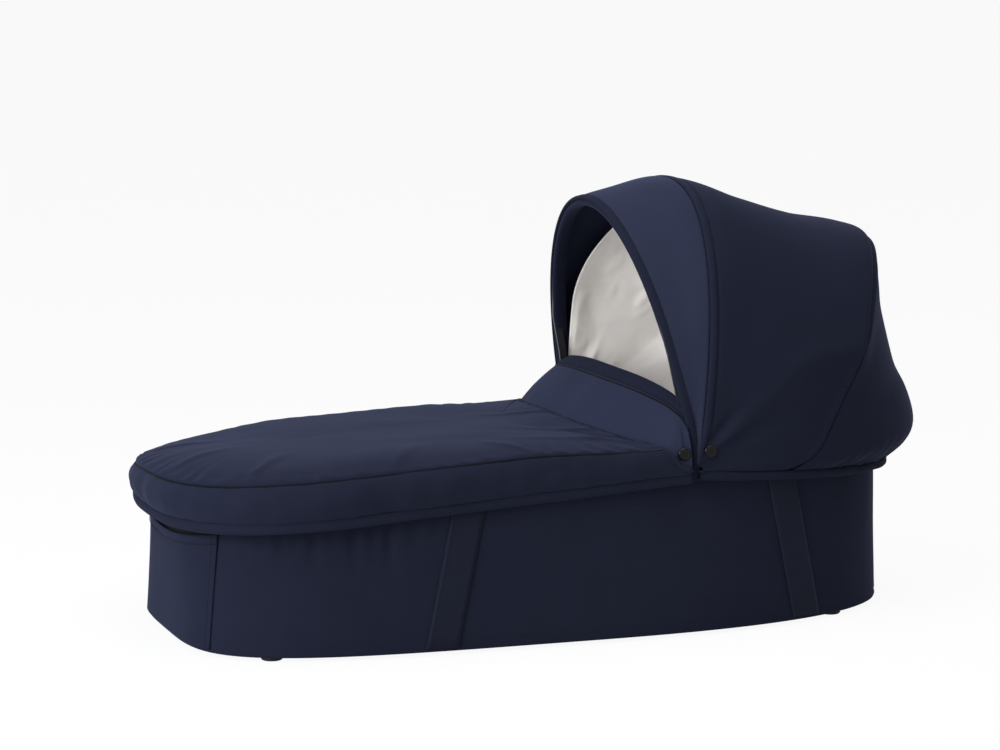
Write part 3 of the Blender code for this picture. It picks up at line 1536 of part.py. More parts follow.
def build_snaps():
    """Domed snap caps: two at the flap's corners and two on the hood."""
    profile = [
        (SNAP_RADIUS, 0),
        (SNAP_RADIUS, SNAP_HEIGHT / 2),
        (SNAP_RADIUS * SNAP_DOME_SHARE, SNAP_HEIGHT * SNAP_DOME_SHARE),
        (SNAP_RADIUS * SNAP_FLAT_SHARE, SNAP_HEIGHT),
    ]
    for side in (LEFT, RIGHT):
        name = SIDE_NAMES[side]
        flap_y = SEAT_GAP + side_reach("wind_flap", FLAP_SNAP_X, FLAP_SNAP_Z, SNAP_RADIUS, side)
        hood_y = SEAT_GAP + side_reach(
            "hood_main_panel", HOOD_SNAP_X, HOOD_SNAP_Z, SNAP_RADIUS, side
        )
        place = (FLAP_SNAP_X, side * flap_y, FLAP_SNAP_Z)
        turned_solid(
            f"flap_snap_{name}", place, profile, SNAP_SIDES, "nylon", "flap_axis", "Y", side
        )
        place = (HOOD_SNAP_X, side * hood_y, HOOD_SNAP_Z)
        turned_solid(
            f"hood_snap_{name}", place, profile, SNAP_SIDES, "nylon", "middle_bow_axis", "Y",
            side,
        )


def build_pivots():
    """The cot's own frame, then one empty on each joint's axis."""
    origin = add_pivot("cot_origin", (0, 0, 0))
    origin.location = (ORIGIN_X, 0, FOOT_HEIGHT)
    add_pivot("rear_bow_axis", hood_pivot(), "cot_origin")
    add_pivot("middle_bow_axis", hood_pivot(), "rear_bow_axis")
    add_pivot("front_bow_axis", hood_pivot(), "middle_bow_axis")
    add_pivot("apron_slide", (0, 0, APRON_LEVEL), "cot_origin")
    add_pivot("flap_axis", (FLAP_SNAP_X, 0, FLAP_SNAP_Z), "apron_slide")


def main():
    clear_scene()
    build_pivots()
    build_outer_cover()
    build_foot_panel()
    build_base_board()
    build_feet()
    build_rim_tube()
    build_stays()
    build_liner_and_mattress()
    build_carry_straps()
    build_hood_frame()
    build_hood_panels()
    build_hood_hem()
    build_apron_top()
    build_apron_band()
    build_wind_flap()
    build_snaps()


main()
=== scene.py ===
"""Looks of a soft carrycot: dark navy twill tub, padded apron, wind flap and folding hood.

Shapes are worked out in the cot's own frame: X from the foot end to the head end, Y across,
Z up from the bottom edge of the outer cover. COT_PLACE carries them to the frame's place.
"""
import math

import bmesh
import bpy
import numpy as np
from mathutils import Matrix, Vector, noise


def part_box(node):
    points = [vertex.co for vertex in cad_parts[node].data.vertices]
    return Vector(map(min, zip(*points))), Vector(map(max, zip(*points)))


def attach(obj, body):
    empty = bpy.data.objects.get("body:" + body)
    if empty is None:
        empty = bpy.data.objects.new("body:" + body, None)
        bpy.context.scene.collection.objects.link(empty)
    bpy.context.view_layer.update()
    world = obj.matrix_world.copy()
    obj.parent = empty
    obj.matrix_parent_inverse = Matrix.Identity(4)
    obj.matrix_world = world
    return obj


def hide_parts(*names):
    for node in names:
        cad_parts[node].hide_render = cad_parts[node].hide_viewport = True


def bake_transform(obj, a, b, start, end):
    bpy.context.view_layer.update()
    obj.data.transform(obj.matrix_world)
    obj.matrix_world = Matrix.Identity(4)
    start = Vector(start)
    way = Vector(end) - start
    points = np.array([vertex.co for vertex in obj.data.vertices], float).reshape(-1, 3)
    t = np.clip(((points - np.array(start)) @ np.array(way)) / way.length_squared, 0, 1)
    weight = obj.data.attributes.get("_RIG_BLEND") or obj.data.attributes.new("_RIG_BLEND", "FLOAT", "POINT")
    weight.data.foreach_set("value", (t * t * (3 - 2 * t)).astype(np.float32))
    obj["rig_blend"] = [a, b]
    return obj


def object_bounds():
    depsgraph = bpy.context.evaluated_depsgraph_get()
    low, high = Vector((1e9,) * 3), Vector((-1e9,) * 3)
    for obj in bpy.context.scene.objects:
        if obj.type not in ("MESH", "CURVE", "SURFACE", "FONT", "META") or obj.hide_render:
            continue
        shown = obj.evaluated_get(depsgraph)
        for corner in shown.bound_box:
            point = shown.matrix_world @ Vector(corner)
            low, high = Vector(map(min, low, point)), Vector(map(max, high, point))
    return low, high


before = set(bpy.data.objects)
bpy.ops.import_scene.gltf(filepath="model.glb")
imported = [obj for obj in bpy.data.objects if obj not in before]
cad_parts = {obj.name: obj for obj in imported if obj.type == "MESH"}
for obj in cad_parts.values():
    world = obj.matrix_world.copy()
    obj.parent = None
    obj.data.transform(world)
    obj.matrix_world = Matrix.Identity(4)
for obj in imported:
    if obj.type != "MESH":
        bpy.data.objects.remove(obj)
CAD_LOW, CAD_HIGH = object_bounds()

bl_info = {
    "name": "Soft carrycot looks",
    "version": (1, 0, 0),
    "blender": (4, 5, 0),
    "location": "3D View > Sidebar > Carrycot",
    "description": "Dresses a carrycot's frame with sewn cloth, lining, bindings and finishes",
    "category": "Object",
}

MM = 0.001
LEFT, RIGHT = 1, -1
SIDES = {LEFT: "left", RIGHT: "right"}

# Place of the cot's own frame, and the tub's plan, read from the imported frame
COVER_LOW, COVER_HIGH = (Vector(corner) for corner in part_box("outer_cover"))
COT_PLACE = np.array(((COVER_LOW.x + COVER_HIGH.x) / 2, 0.0, COVER_LOW.z))
BASE_LENGTH = COVER_HIGH.x - COVER_LOW.x
BASE_WIDTH = COVER_HIGH.y - COVER_LOW.y
RIM_LENGTH = BASE_LENGTH - 10 * MM
RIM_WIDTH = BASE_WIDTH - 3 * MM
BASE_FOOT_SQUARENESS = 4.1
RIM_FOOT_SQUARENESS = 3.1
HEAD_SQUARENESS = 2.56

# Top edge of the tub's cover: height at the foot end, beside the hood's hinge and at the head
TOP_FOOT = (-380 * MM, 156.5 * MM)
TOP_HINGE = (118 * MM, 180.5 * MM)
TOP_HEAD = (380 * MM, 169.5 * MM)

# Foot panel
FOOT_PANEL_BOTTOM = 4 * MM
FOOT_PANEL_MID_TOP = 108 * MM
FOOT_PANEL_SIDE_TOP = 119 * MM
FOOT_PANEL_HEM = 11 * MM
FOOT_PANEL_REACH = 3.52 / 56
FOOT_PANEL_SLACK = 3.0 * MM
# Height of the painted shadow strip above the foot panel's top edge
POCKET_SHADOW_RISE = 24 * MM

# Liner and mattress
LINER_INSET = 18.4 * MM
LINER_FLOOR = 11.6 * MM
MATTRESS_INSET = 22.6 * MM
MATTRESS_THICKNESS = 34 * MM

# Carry straps: x of each leg's bottom and top, the webbing and its rows along a leg
STRAP_LEGS = ((-153 * MM, -118 * MM), (254 * MM, 215 * MM))
STRAP_WIDTH = 33 * MM
STRAP_THICKNESS = 1.6 * MM
LEG_ROWS = 16
HANDLE_HEIGHT = 98 * MM
HANDLE_TURN = 34 * MM
HANDLE_INSET = 25.8 * MM

# Hood: its fan point, and its sections as angle, reach, half width and squareness
FAN_X = 118 * MM
FAN_Z = 168 * MM
HOOD_STATIONS = (
    (-3.4, 280.0, 198.5, 2.20),
    (0.2, 306.5, 198.5, 2.25),
    (4.0, 316.3, 198.5, 2.30),
    (11.0, 309.2, 198.5, 2.40),
    (17.9, 299.2, 198.5, 2.50),
    (29.8, 308.2, 198.5, 2.50),
    (37.8, 332.4, 198.5, 2.45),
    (41.1, 340.9, 198.5, 2.45),
    (52.2, 303.6, 198.5, 2.40),
    (66.0, 285.6, 198.5, 2.35),
    (81.56, 286.1, 198.5, 2.25),
    (100.55, 267.5, 195.0, 2.05),
)

# Angles of the hood's hem, ridge, middle bow and front edge, and its rear seam's curve
HEM_ANGLE = -3.4
RIDGE_ANGLE = 41.1
MIDDLE_ANGLE = 81.56
VISOR_ANGLE = 100.55
SEAM_START = 19.6
SEAM_FULL = 45.0
SEAM_CURVE = 4

# Hood's lining, the half width of its side folds, its least radius, channel and gathers
LINING_INSET = 13.8 * MM
LINING_HEM_RISE = 19 * MM
LINING_REACH = 300 * MM
HOOD_HALF = 198 * MM
HUB_RADIUS = 45 * MM
CHANNEL_WIDTH = 8.4 * MM
GATHER_PITCH = 21 * MM
GATHER_HEIGHT = 3.2 * MM

# Apron: reach of its rounded foot end, width, and the heights of its piped edge and its hem
APRON_REACH = 406 * MM
APRON_WIDTH = 406 * MM
APRON_SQUARENESS = 2.75
APRON_LEVEL = 192 * MM
APRON_SLOPE = 0.065
APRON_CROWN = 17 * MM
APRON_SETTLE = 6 * MM
APRON_SETTLE_RUN = 150 * MM
APRON_LEAN = 0.022
APRON_DROOP = 0.05
APRON_CORNER_X = 78 * MM
APRON_END_X = 110 * MM
APRON_HEM = ((-408.5 * MM, 123 * MM), (-150 * MM, 140.5 * MM), (118 * MM, 159 * MM))
HEM_HEIGHT = 9 * MM
BAND_BULGE = 4.5 * MM
FOOT_DRAW = 1.5 * MM
PIPING_RADIUS = 1.6 * MM

# Wind flap: x and height of its seam and its top edge in the middle, and its left end
FLAP_SEAM = (46 * MM, 197.5 * MM)
FLAP_TOP = (103 * MM, 249.5 * MM)
FLAP_END = (111 * MM, 201.6 * MM, 171 * MM)
FLAP_BULGE = 4 * MM
FLAP_SKEW = 15 * MM
FLAP_TUCK = (6 * MM, 0.0, 3 * MM)

# Section of the flap's binding in millimetres: how far out on each row of its face, then
# rise and how far out over its back; and the far ends of the folds from its snaps
FLAP_TAPE_OUT = (0.2, 1.1, 1.4, 1.5, 1.5, 1.5, 1.4, 1.1)
FLAP_TAPE_BACK = ((1.1, 0.3), (1.4, -0.9), (1.1, -2.2), (0.2, -3.0), (-2.0, -3.2))
FLAP_DRAGS = ((88, 150, 224), (72, 168, 207), (62, 140, 204), (98, 172, 228))
FLAP_DRAG_WIDTH = 4 * MM
FLAP_DRAG_HEIGHT = 1.2 * MM
FLAP_ARC = 480 * MM

# Snap caps: their size, and x and height of the flap's and the hood's
SNAP_RADIUS = 6.7 * MM
SNAP_HEIGHT = 3.2 * MM
FLAP_SNAP = (102.5 * MM, 187 * MM)
HOOD_SNAP = (132 * MM, 188 * MM)

# Thickness of each cloth, and half the width of the near-black ribbon that paints the shade in a sunk seam
COVER_CLOTH = 1.6 * MM
PANEL_CLOTH = 1.2 * MM
FACING_CLOTH = 0.9 * MM
LINING_CLOTH = 1.0 * MM
BAND_CLOTH = 3.2 * MM
FLAP_CLOTH = 2.4 * MM
HOOD_CLOTH = 1.8 * MM
HEM_CLOTH = 1.8 * MM
SEAM_SHADE_HALF_WIDTH = 1.3 * MM
STITCH_LENGTH = 3.0 * MM
STITCH_RADIUS = 0.32 * MM

# Camera: the photograph's viewing angle in degrees, and its lens in millimetres
CAMERA_TURN = -19.0
CAMERA_RISE = 8.0
CAMERA_DISTANCE = 3.6
CAMERA_LENS = 123.4
SENSOR_WIDTH = 36
CAMERA_TARGET = (-0.0352, 0.0, 0.251)

# Studio: how bright its paper shows, the white world's light, and each softbox as name,
# place, target, size, watts and shade
PAPER_GLOW = 0.93
FLOOR_REACH = 60.0
WORLD_LIGHT = 0.22
WHITE = "ffffff"
SOFTBOXES = (
    ("overhead_softbox", (-0.2, -0.4, 2.3), (0, 0, 0.2), (2.4, 2.0), 43, WHITE),
    ("foot_end_softbox", (-2.5, -0.2, 1.2), (0, 0, 0.3), (1.6, 1.6), 13, "86b0ff"),
    ("front_left_softbox", (-2.6, -1.3, 1.0), (0, 0, 0.3), (1.8, 1.6), 81, WHITE),
)


# Small numbers and curves
def lerp(start, end, share):
    return start + (end - start) * share


def smooth(share):
    share = np.clip(share, 0, 1)
    return share * share * (3 - 2 * share)


def bell(distance, width):
    return np.exp(-(distance / width) ** 2)


def unit(ways):
    """The ways at unit length."""
    return ways / np.maximum(np.linalg.norm(ways, axis=-1, keepdims=True), 1e-12)


def running_sum(steps):
    return np.concatenate(([0], np.cumsum(steps)))


def arc_along(path):
    """Length along a path up to each of its points."""
    return running_sum(np.linalg.norm(np.diff(path, axis=0), axis=-1))


def parabola(x, knots):
    """Height at x on the parabola through three (x, height) knots."""
    total = 0
    for k, (xk, height) in enumerate(knots):
        share = 1
        for j, (xj, _) in enumerate(knots):
            if j != k:
                share = share * (x - xj) / (xk - xj)
        total = total + height * share
    return total


def curve_through(knots, shares):
    """Points of a Catmull-Rom curve through its knots, at shares from 0 to 1."""
    knots = np.asarray(knots, float)
    first = 2 * knots[0] - knots[1]
    last = 2 * knots[-1] - knots[-2]
    line = np.vstack((first, knots, last))
    spans = len(knots) - 1
    place = np.clip(np.asarray(shares, float), 0, 1) * spans
    k = np.minimum(place.astype(int), spans - 1)
    t = (place - k)[..., None]
    p0, p1, p2, p3 = (line[k + step] for step in range(4))
    return (
        2 * p1 + (p2 - p0) * t + (2 * p0 - 5 * p1 + 4 * p2 - p3) * t ** 2
        + (3 * p1 - p0 - 3 * p2 + p3) * t ** 3
    ) / 2


def cloth_noise(points, size, seed):
    """Soft noise from -1 to 1 at each point, with lumps of about the given size."""
    flat = points.reshape(-1, 3) / size
    shift = Vector((seed * 7.3, seed * 3.1, seed * 5.7))
    values = [noise.noise(Vector(point) + shift) for point in flat]
    return np.array(values).reshape(points.shape[:-1])


def seam_noise(arc, size, seed):
    """Soft noise along a seam, at lengths along it."""
    return cloth_noise(np.stack((arc, 0 * arc, 0 * arc), -1), size, seed)


def crease(points, start, end, width):
    """1 along the line from start to end, falling off to each side and toward its far end."""
    start = np.asarray(start, float)
    run = np.asarray(end, float) - start
    along = np.clip(((points - start) @ run) / (run @ run), 0, 1)
    nearest = start + along[..., None] * run
    distance = np.linalg.norm(points - nearest, axis=-1)
    return bell(distance, width * (0.45 + 0.9 * along)) * (1 - smooth((along - 0.35) / 0.65))


# Plan of the tub and of the apron's rounded end
def oval(length, width, foot_power, head_power, shares):
    """Points and outward normals at shares of the way round an oval, from the head tip."""
    turn = np.linspace(0, 2 * math.pi, 1441)
    cos, sin = np.cos(turn), np.sin(turn)
    power = np.where(cos > 0, head_power, foot_power)
    across = np.sign(cos) * np.abs(cos) ** (2 / power)
    aside = np.sign(sin) * np.abs(sin) ** (2 / power)
    x, y = across * length / 2, aside * width / 2
    nx = np.sign(across) * np.abs(across) ** (power - 1) / (length / 2)
    ny = np.sign(aside) * np.abs(aside) ** (power - 1) / (width / 2)
    size = np.hypot(nx, ny)
    arc = running_sum(np.hypot(np.diff(x), np.diff(y)))
    at = np.asarray(shares, float) % 1.0 * arc[-1]
    place = np.stack([np.interp(at, arc, v) for v in (x, y)], -1)
    normal = np.stack([np.interp(at, arc, v / size) for v in (nx, ny)], -1)
    return place, unit(normal), arc[-1]


def cover_top(x):
    """Height of the cover's top edge at x."""
    return parabola(x, (TOP_FOOT, TOP_HINGE, TOP_HEAD))


def tub_row(shares, level, inset=0.0, height=None):
    """One row of the tub's wall at a level from 0 to 1 of its height, set in by an inset."""
    length = lerp(BASE_LENGTH, RIM_LENGTH, level)
    width = lerp(BASE_WIDTH, RIM_WIDTH, level)
    foot = lerp(BASE_FOOT_SQUARENESS, RIM_FOOT_SQUARENESS, level)
    place, normal, _ = oval(length, width, foot, HEAD_SQUARENESS, shares)
    place = place - normal * np.reshape(inset, (-1, 1))
    z = cover_top(place[:, 0]) * level if height is None else height + 0 * place[:, 0]
    return np.column_stack((place, z))


def tub_side_y(x, z):
    """Half width of the tub's outer face at x and z."""
    level = np.clip(z / TOP_HINGE[1], 0, 1)
    length = lerp(BASE_LENGTH, RIM_LENGTH, level)
    width = lerp(BASE_WIDTH, RIM_WIDTH, level)
    foot = lerp(BASE_FOOT_SQUARENESS, RIM_FOOT_SQUARENESS, level)
    power = np.where(np.asarray(x) > 0, HEAD_SQUARENESS, foot)
    share = np.clip(np.abs(x) / (length / 2), 0, 1)
    return width / 2 * (1 - share ** power) ** (1 / power)


def apron_outline(shares, end_x):
    """Points and normals from the left corner at end_x round the foot end to the right one."""
    half = APRON_WIDTH / 2
    centre_x = half - APRON_REACH
    _, _, around = oval(APRON_WIDTH, APRON_WIDTH, APRON_SQUARENESS, APRON_SQUARENESS, [0])
    bend = around / 2
    straight = end_x - centre_x
    travel = np.asarray(shares, float) * (bend + 2 * straight)
    turn = np.clip((travel - straight) / bend, 0, 1)
    place, normal, _ = oval(
        APRON_WIDTH, APRON_WIDTH, APRON_SQUARENESS, APRON_SQUARENESS, 0.25 + turn / 2
    )
    place[:, 0] += centre_x
    before = travel < straight
    after = travel > straight + bend
    place[before, 0] = end_x - travel[before]
    place[after, 0] = centre_x + travel[after] - straight - bend
    place[before, 1], place[after, 1] = half, -half
    normal[before], normal[after] = (0, 1), (0, -1)
    return np.column_stack((place, 0 * travel)), np.column_stack((normal, 0 * travel))


def apron_plane(x, y):
    """Height of the apron's piped edge: it rises, levels near the flap and leans to the left."""
    settle = smooth((x + APRON_SETTLE_RUN / 2) / APRON_SETTLE_RUN)
    lean = APRON_LEAN * y * (1 - 0.6 * settle)
    droop = APRON_DROOP * np.maximum(y, 0) * smooth((-x - 220 * MM) / (140 * MM))
    return APRON_LEVEL + APRON_SLOPE * x - APRON_SETTLE * settle - lean - droop


def foot_share(x):
    """1 at the foot tip of the apron, fading to 0 over its rounded end."""
    return np.clip(1 - (x + APRON_REACH) / (APRON_WIDTH / 2), 0, 1) ** 2


# Surface of the hood
def hood_table():
    """Angles with the smoothed reach, half width and squareness of the hood at each."""
    stations = curve_through(HOOD_STATIONS, np.linspace(0, 1, 481))
    angles = np.arange(-12, 108, 0.25)
    spread = bell(np.arange(-12, 13), 5.0)
    spread /= spread.sum()
    columns = []
    for k in (1, 2, 3):
        values = np.interp(angles, stations[:, 0], stations[:, k])
        padded = np.pad(values, 12, mode="edge")
        columns.append(np.convolve(padded, spread, mode="valid"))
    return angles, columns[0] * MM, columns[1] * MM, columns[2]


HOOD_TABLE = hood_table()


def hood_section(angle):
    """Reach, half width and squareness of the hood's section at an angle."""
    angles, reach, half, power = HOOD_TABLE
    return tuple(np.interp(angle, angles, column) for column in (reach, half, power))


def seam_angle(turn):
    """Angle of the rear seam: low at the sides, up at the ridge over the middle."""
    off = np.minimum(np.abs(90 - turn) / (90 - SEAM_START), 1)
    return RIDGE_ANGLE - (RIDGE_ANGLE - HEM_ANGLE) * off ** SEAM_CURVE


def station_angle(angle, turn):
    """Station whose section shapes the skin here, so that the ridge follows the seam."""
    seam = seam_angle(turn)
    upper = lerp(RIDGE_ANGLE, MIDDLE_ANGLE, (angle - seam) / (MIDDLE_ANGLE - seam))
    lower = lerp(HEM_ANGLE, RIDGE_ANGLE, (angle - HEM_ANGLE) / np.maximum(seam - HEM_ANGLE, 1e-6))
    drawn = np.where(angle >= seam, upper, lower)
    off = np.minimum(turn, 180 - turn) - SEAM_START
    drawn = lerp(angle, drawn, smooth(off / (SEAM_FULL - SEAM_START)))
    return np.where(angle >= MIDDLE_ANGLE, angle, drawn)


def hood_point(angle, turn, inset=0.0):
    """Points of the hood's skin; turn runs 0 to 180 from the left side over to the right."""
    angle, turn = np.broadcast_arrays(np.asarray(angle, float), np.asarray(turn, float))
    reach, half, power = hood_section(station_angle(angle, turn))
    reach = reach - inset
    half = half - inset
    cos, sin = np.cos(np.radians(turn)), np.sin(np.radians(turn))
    up = np.abs(sin) ** (2 / power)
    aside = np.sign(cos) * np.abs(cos) ** (2 / power)
    way = np.radians(angle)
    x = FAN_X + reach * up * np.cos(way)
    z = FAN_Z + reach * up * np.sin(way)
    return np.stack((x, half * aside, z), -1)


def hood_turn_at(angle, radius):
    """Turn at which the hood's skin is a radius away from the fan point, on the left."""
    reach, _, power = hood_section(angle)
    return np.degrees(np.arcsin(np.clip(radius / reach, 0, 1) ** (power / 2)))


# Meshes
def grid_normals(grid, wrap=False):
    """Unit normals of a grid of rows and columns; wrap joins its last column to its first."""
    if wrap:
        wide = np.concatenate((grid[:, -1:], grid, grid[:, :1]), axis=1)
        across = wide[:, 2:] - wide[:, :-2]
    else:
        across = np.gradient(grid, axis=1)
    down = np.gradient(grid, axis=0)
    return unit(np.cross(across, down))


def middle_of(grid):
    return grid[grid.shape[0] // 2, grid.shape[1] // 2]


def mesh_object(name, verts, faces, finish, loop_uvs=None):
    """A smooth mesh in the frame's place, with its cloth measured in metres in its UV map."""
    mesh = bpy.data.meshes.new(name)
    verts = np.asarray(verts, float).reshape(-1, 3) + COT_PLACE
    mesh.from_pydata(verts.tolist(), [], faces)
    if loop_uvs is not None:
        layer = mesh.uv_layers.new(name="cloth_metres")
        layer.data.foreach_set("uv", np.asarray(loop_uvs, float).ravel())
    mesh.shade_smooth()
    mesh.materials.append(finish)
    piece = bpy.data.objects.new(name, mesh)
    bpy.context.scene.collection.objects.link(piece)
    return piece


def cloth(name, grid, thickness, finish, wrap=False):
    """A closed sheet: the grid is its face, and its back lies a thickness behind it."""
    rows, cols = grid.shape[:2]
    normal = grid_normals(grid, wrap)
    verts = np.concatenate((grid, grid - normal * np.reshape(thickness, (-1, 1, 1))))
    ring = np.concatenate((grid, grid[:, :1]), axis=1) if wrap else grid
    along = np.linalg.norm(np.diff(ring, axis=1), axis=-1).mean(axis=0)
    down = np.linalg.norm(np.diff(grid, axis=0), axis=-1).mean(axis=1)
    u, v = running_sum(along), running_sum(down)
    spans = cols if wrap else cols - 1
    faces, uvs = [], []
    back = rows * cols
    for i in range(rows - 1):
        for j in range(spans):
            k = (j + 1) % cols
            a, b, c, d = i * cols + j, i * cols + k, (i + 1) * cols + k, (i + 1) * cols + j
            corners = [(u[j], v[i]), (u[j + 1], v[i]), (u[j + 1], v[i + 1]), (u[j], v[i + 1])]
            faces.append((a, b, c, d))
            uvs.extend(corners)
            faces.append((back + d, back + c, back + b, back + a))
            uvs.extend(reversed(corners))
    for j in range(spans):
        k = (j + 1) % cols
        low = (rows - 1) * cols
        faces.append((k, j, back + j, back + k))
        faces.append((low + j, low + k, back + low + k, back + low + j))
        uvs.extend([(u[j + 1], v[0]), (u[j], v[0]), (u[j], v[0]), (u[j + 1], v[0])])
        uvs.extend([(u[j], v[-1]), (u[j + 1], v[-1]), (u[j + 1], v[-1]), (u[j], v[-1])])
    if not wrap:
        for i in range(rows - 1):
            a, b = i * cols, (i + 1) * cols
            c, d = a + cols - 1, b + cols - 1
            faces.append((a, b, back + b, back + a))
            faces.append((d, c, back + c, back + d))
            uvs.extend([(u[0], v[i]), (u[0], v[i + 1]), (u[0], v[i + 1]), (u[0], v[i])])
            uvs.extend([(u[-1], v[i + 1]), (u[-1], v[i]), (u[-1], v[i]), (u[-1], v[i + 1])])
    piece = mesh_object(name, verts, faces, finish, uvs)
    piece["cut"] = cut_sizes(grid, wrap)
    return piece


def sweep(name, path, wide, deep, width, depth, finish, sides, squareness=2.0):
    """A band along a path; wide and deep are unit ways, width and depth its half sizes."""
    turn = np.linspace(0, 2 * math.pi, sides, endpoint=False)
    cos, sin = np.cos(turn), np.sin(turn)
    a = np.sign(cos) * np.abs(cos) ** (2 / squareness)
    b = np.sign(sin) * np.abs(sin) ** (2 / squareness)
    rings = path[:, None] + wide[:, None] * a[None, :, None] * width
    rings = rings + deep[:, None] * b[None, :, None] * depth
    if np.dot(np.cross(wide[0], deep[0]), path[1] - path[0]) < 0:
        rings = rings[:, ::-1]
    v = arc_along(path)
    u = arc_along(np.concatenate((rings[0], rings[0][:1])))
    faces, uvs = [], []
    last = (len(path) - 1) * sides
    for i in range(len(path) - 1):
        low, high = i * sides, (i + 1) * sides
        for j in range(sides):
            k = (j + 1) % sides
            faces.append((low + j, low + k, high + k, high + j))
            uvs.extend([(v[i], u[j]), (v[i], u[j + 1]), (v[i + 1], u[j + 1]), (v[i + 1], u[j])])
    faces.append(tuple(reversed(range(sides))))
    faces.append(tuple(last + j for j in range(sides)))
    uvs.extend([(0.0, u[j]) for j in reversed(range(sides))])
    uvs.extend([(v[-1], u[j]) for j in range(sides)])
    return mesh_object(name, rings, faces, finish, uvs)


def path_ways(path, out):
    """Ways along a path, and square to it and to its outward normals."""
    along = unit(np.gradient(path, axis=0))
    return along, unit(np.cross(along, out))


def resample(path, spacing):
    """Even points along a path, about a spacing apart."""
    arc = arc_along(path)
    count = max(int(arc[-1] / spacing), 2)
    at = (np.arange(count) + 0.5) * arc[-1] / count
    return np.stack([np.interp(at, arc, path[:, k]) for k in range(path.shape[1])], -1)


def stitches(name, path, out):
    """A row of single stitches that lie along a path, each sunk a little at its ends."""
    pitch = bpy.context.scene.carrycot_cloth.stitch_pitch
    both = resample(np.column_stack((path, out)), pitch)
    centres, ups = both[:, :3], unit(both[:, 3:])
    ways = unit(np.gradient(centres, axis=0))
    asides = np.cross(ups, ways)
    shape = ((-1.0, 0.35, -0.9), (-0.55, 0.95, -0.1), (0.55, 0.95, -0.1), (1.0, 0.35, -0.9))
    sides = 6
    rings = []
    for along, girth, lift in shape:
        for j in range(sides):
            turn = 2 * math.pi * j / sides
            aside = STITCH_RADIUS * girth * math.cos(turn)
            rise = STITCH_RADIUS * (lift + girth * math.sin(turn))
            rings.append(centres + ways * along * STITCH_LENGTH / 2 + asides * aside + ups * rise)
    block = len(rings)
    verts = np.stack(rings, axis=1)
    faces = []
    for k in range(len(centres)):
        base = k * block
        for i in range(len(shape) - 1):
            for j in range(sides):
                n = (j + 1) % sides
                a, b = base + i * sides, base + (i + 1) * sides
                faces.append((a + n, a + j, b + j, b + n))
        faces.append(tuple(base + j for j in range(sides)))
        faces.append(tuple(base + block - 1 - j for j in range(sides)))
    return mesh_object(name, verts, faces, finish_of("thread"))


def dress(piece, body, slot, *nodes):
    """The piece rides on a body and stands for the named nodes; its slot is not used."""
    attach(piece, body)
    if nodes:
        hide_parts(*nodes)
    return piece


def stretch(piece, weights, low_body, high_body, slot, *nodes):
    """Bends a piece between two bodies by a share for each point, and stands it for nodes."""
    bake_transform(piece, low_body, high_body, start=(0, 0, 0), end=(0, 0, 1))
    layer = piece.data.attributes["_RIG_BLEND"]
    layer.data.foreach_set("value", np.asarray(weights, np.float32))
    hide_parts(*nodes)


# Finishes: the bloom on the twill at glancing angles, and the turn of its ribs
BLOOM = "8088b4"
RIB_TURN = math.radians(63)


def linear(hex_colour):
    """sRGB hex, such as 2a2e42, as linear red, green, blue and alpha."""
    parts = [int(hex_colour[k:k + 2], 16) / 255 for k in (0, 2, 4)]
    return tuple(
        part / 12.92 if part <= 0.04045 else ((part + 0.055) / 1.055) ** 2.4 for part in parts
    ) + (1.0,)


def node(tree, kind, links=(), **settings):
    """Adds a node; settings name its properties or inputs, and links its inputs' sources."""
    made = tree.nodes.new(kind)
    for key, value in settings.items():
        if hasattr(made, key):
            setattr(made, key, value)
        else:
            made.inputs[key.replace("_", " ")].default_value = value
    for target, source in links:
        tree.links.new(source, made.inputs[target])
    return made


def new_finish(name, **surface):
    """An empty material with its Principled shader's own sockets set."""
    finish = bpy.data.materials.new(name)
    finish.use_nodes = True
    tree = finish.node_tree
    shader = tree.nodes["Principled BSDF"]
    for key, value in surface.items():
        shader.inputs[key.replace("_", " ")].default_value = value
    finish.diffuse_color = surface.get("Base_Color", (0.5, 0.5, 0.5, 1))
    return finish, tree, shader


def bands_scale(period):
    """Scale at which a wave texture's bands repeat once in a period along an axis."""
    return 2 * math.pi / 20 / period


def shaded(colour, share):
    """A linear colour made darker or lighter by a share."""
    return tuple(part * share for part in colour[:3]) + (1.0,)


def add_ramp(tree, source, dark, light, low, high):
    ramp = node(tree, "ShaderNodeValToRGB", [("Fac", source)])
    ramp.color_ramp.elements[0].color = dark
    ramp.color_ramp.elements[0].position = low
    ramp.color_ramp.elements[1].color = light
    ramp.color_ramp.elements[1].position = high
    return ramp.outputs["Color"]


def add_waves(tree, source, period, **settings):
    """Waves that repeat once in a period of the cloth."""
    waves = node(tree, "ShaderNodeTexWave", [("Vector", source)],
                 Scale=bands_scale(period), **settings)
    return waves.outputs["Fac"]


def add_weave(tree, warp, weft, share):
    """Two sets of waves crossed, the second at a share."""
    weave = node(tree, "ShaderNodeMix", [("A", warp), ("B", weft)],
                 data_type="FLOAT", Factor=share)
    return weave.outputs["Result"]


def add_grain(tree, size, **settings):
    """Noise fixed to the piece, with lumps of a size."""
    body = node(tree, "ShaderNodeTexCoord")
    grain = node(tree, "ShaderNodeTexNoise", [("Vector", body.outputs["Object"])],
                 Scale=1 / size, **settings)
    return grain.outputs["Fac"]


def add_bump(tree, shader, height, strength, distance):
    bump = node(tree, "ShaderNodeBump", [("Height", height)],
                Strength=strength, Distance=distance)
    tree.links.new(bump.outputs["Normal"], shader.inputs["Normal"])


def cloth_place(tree):
    return node(tree, "ShaderNodeUVMap", uv_map="cloth_metres").outputs["UV"]


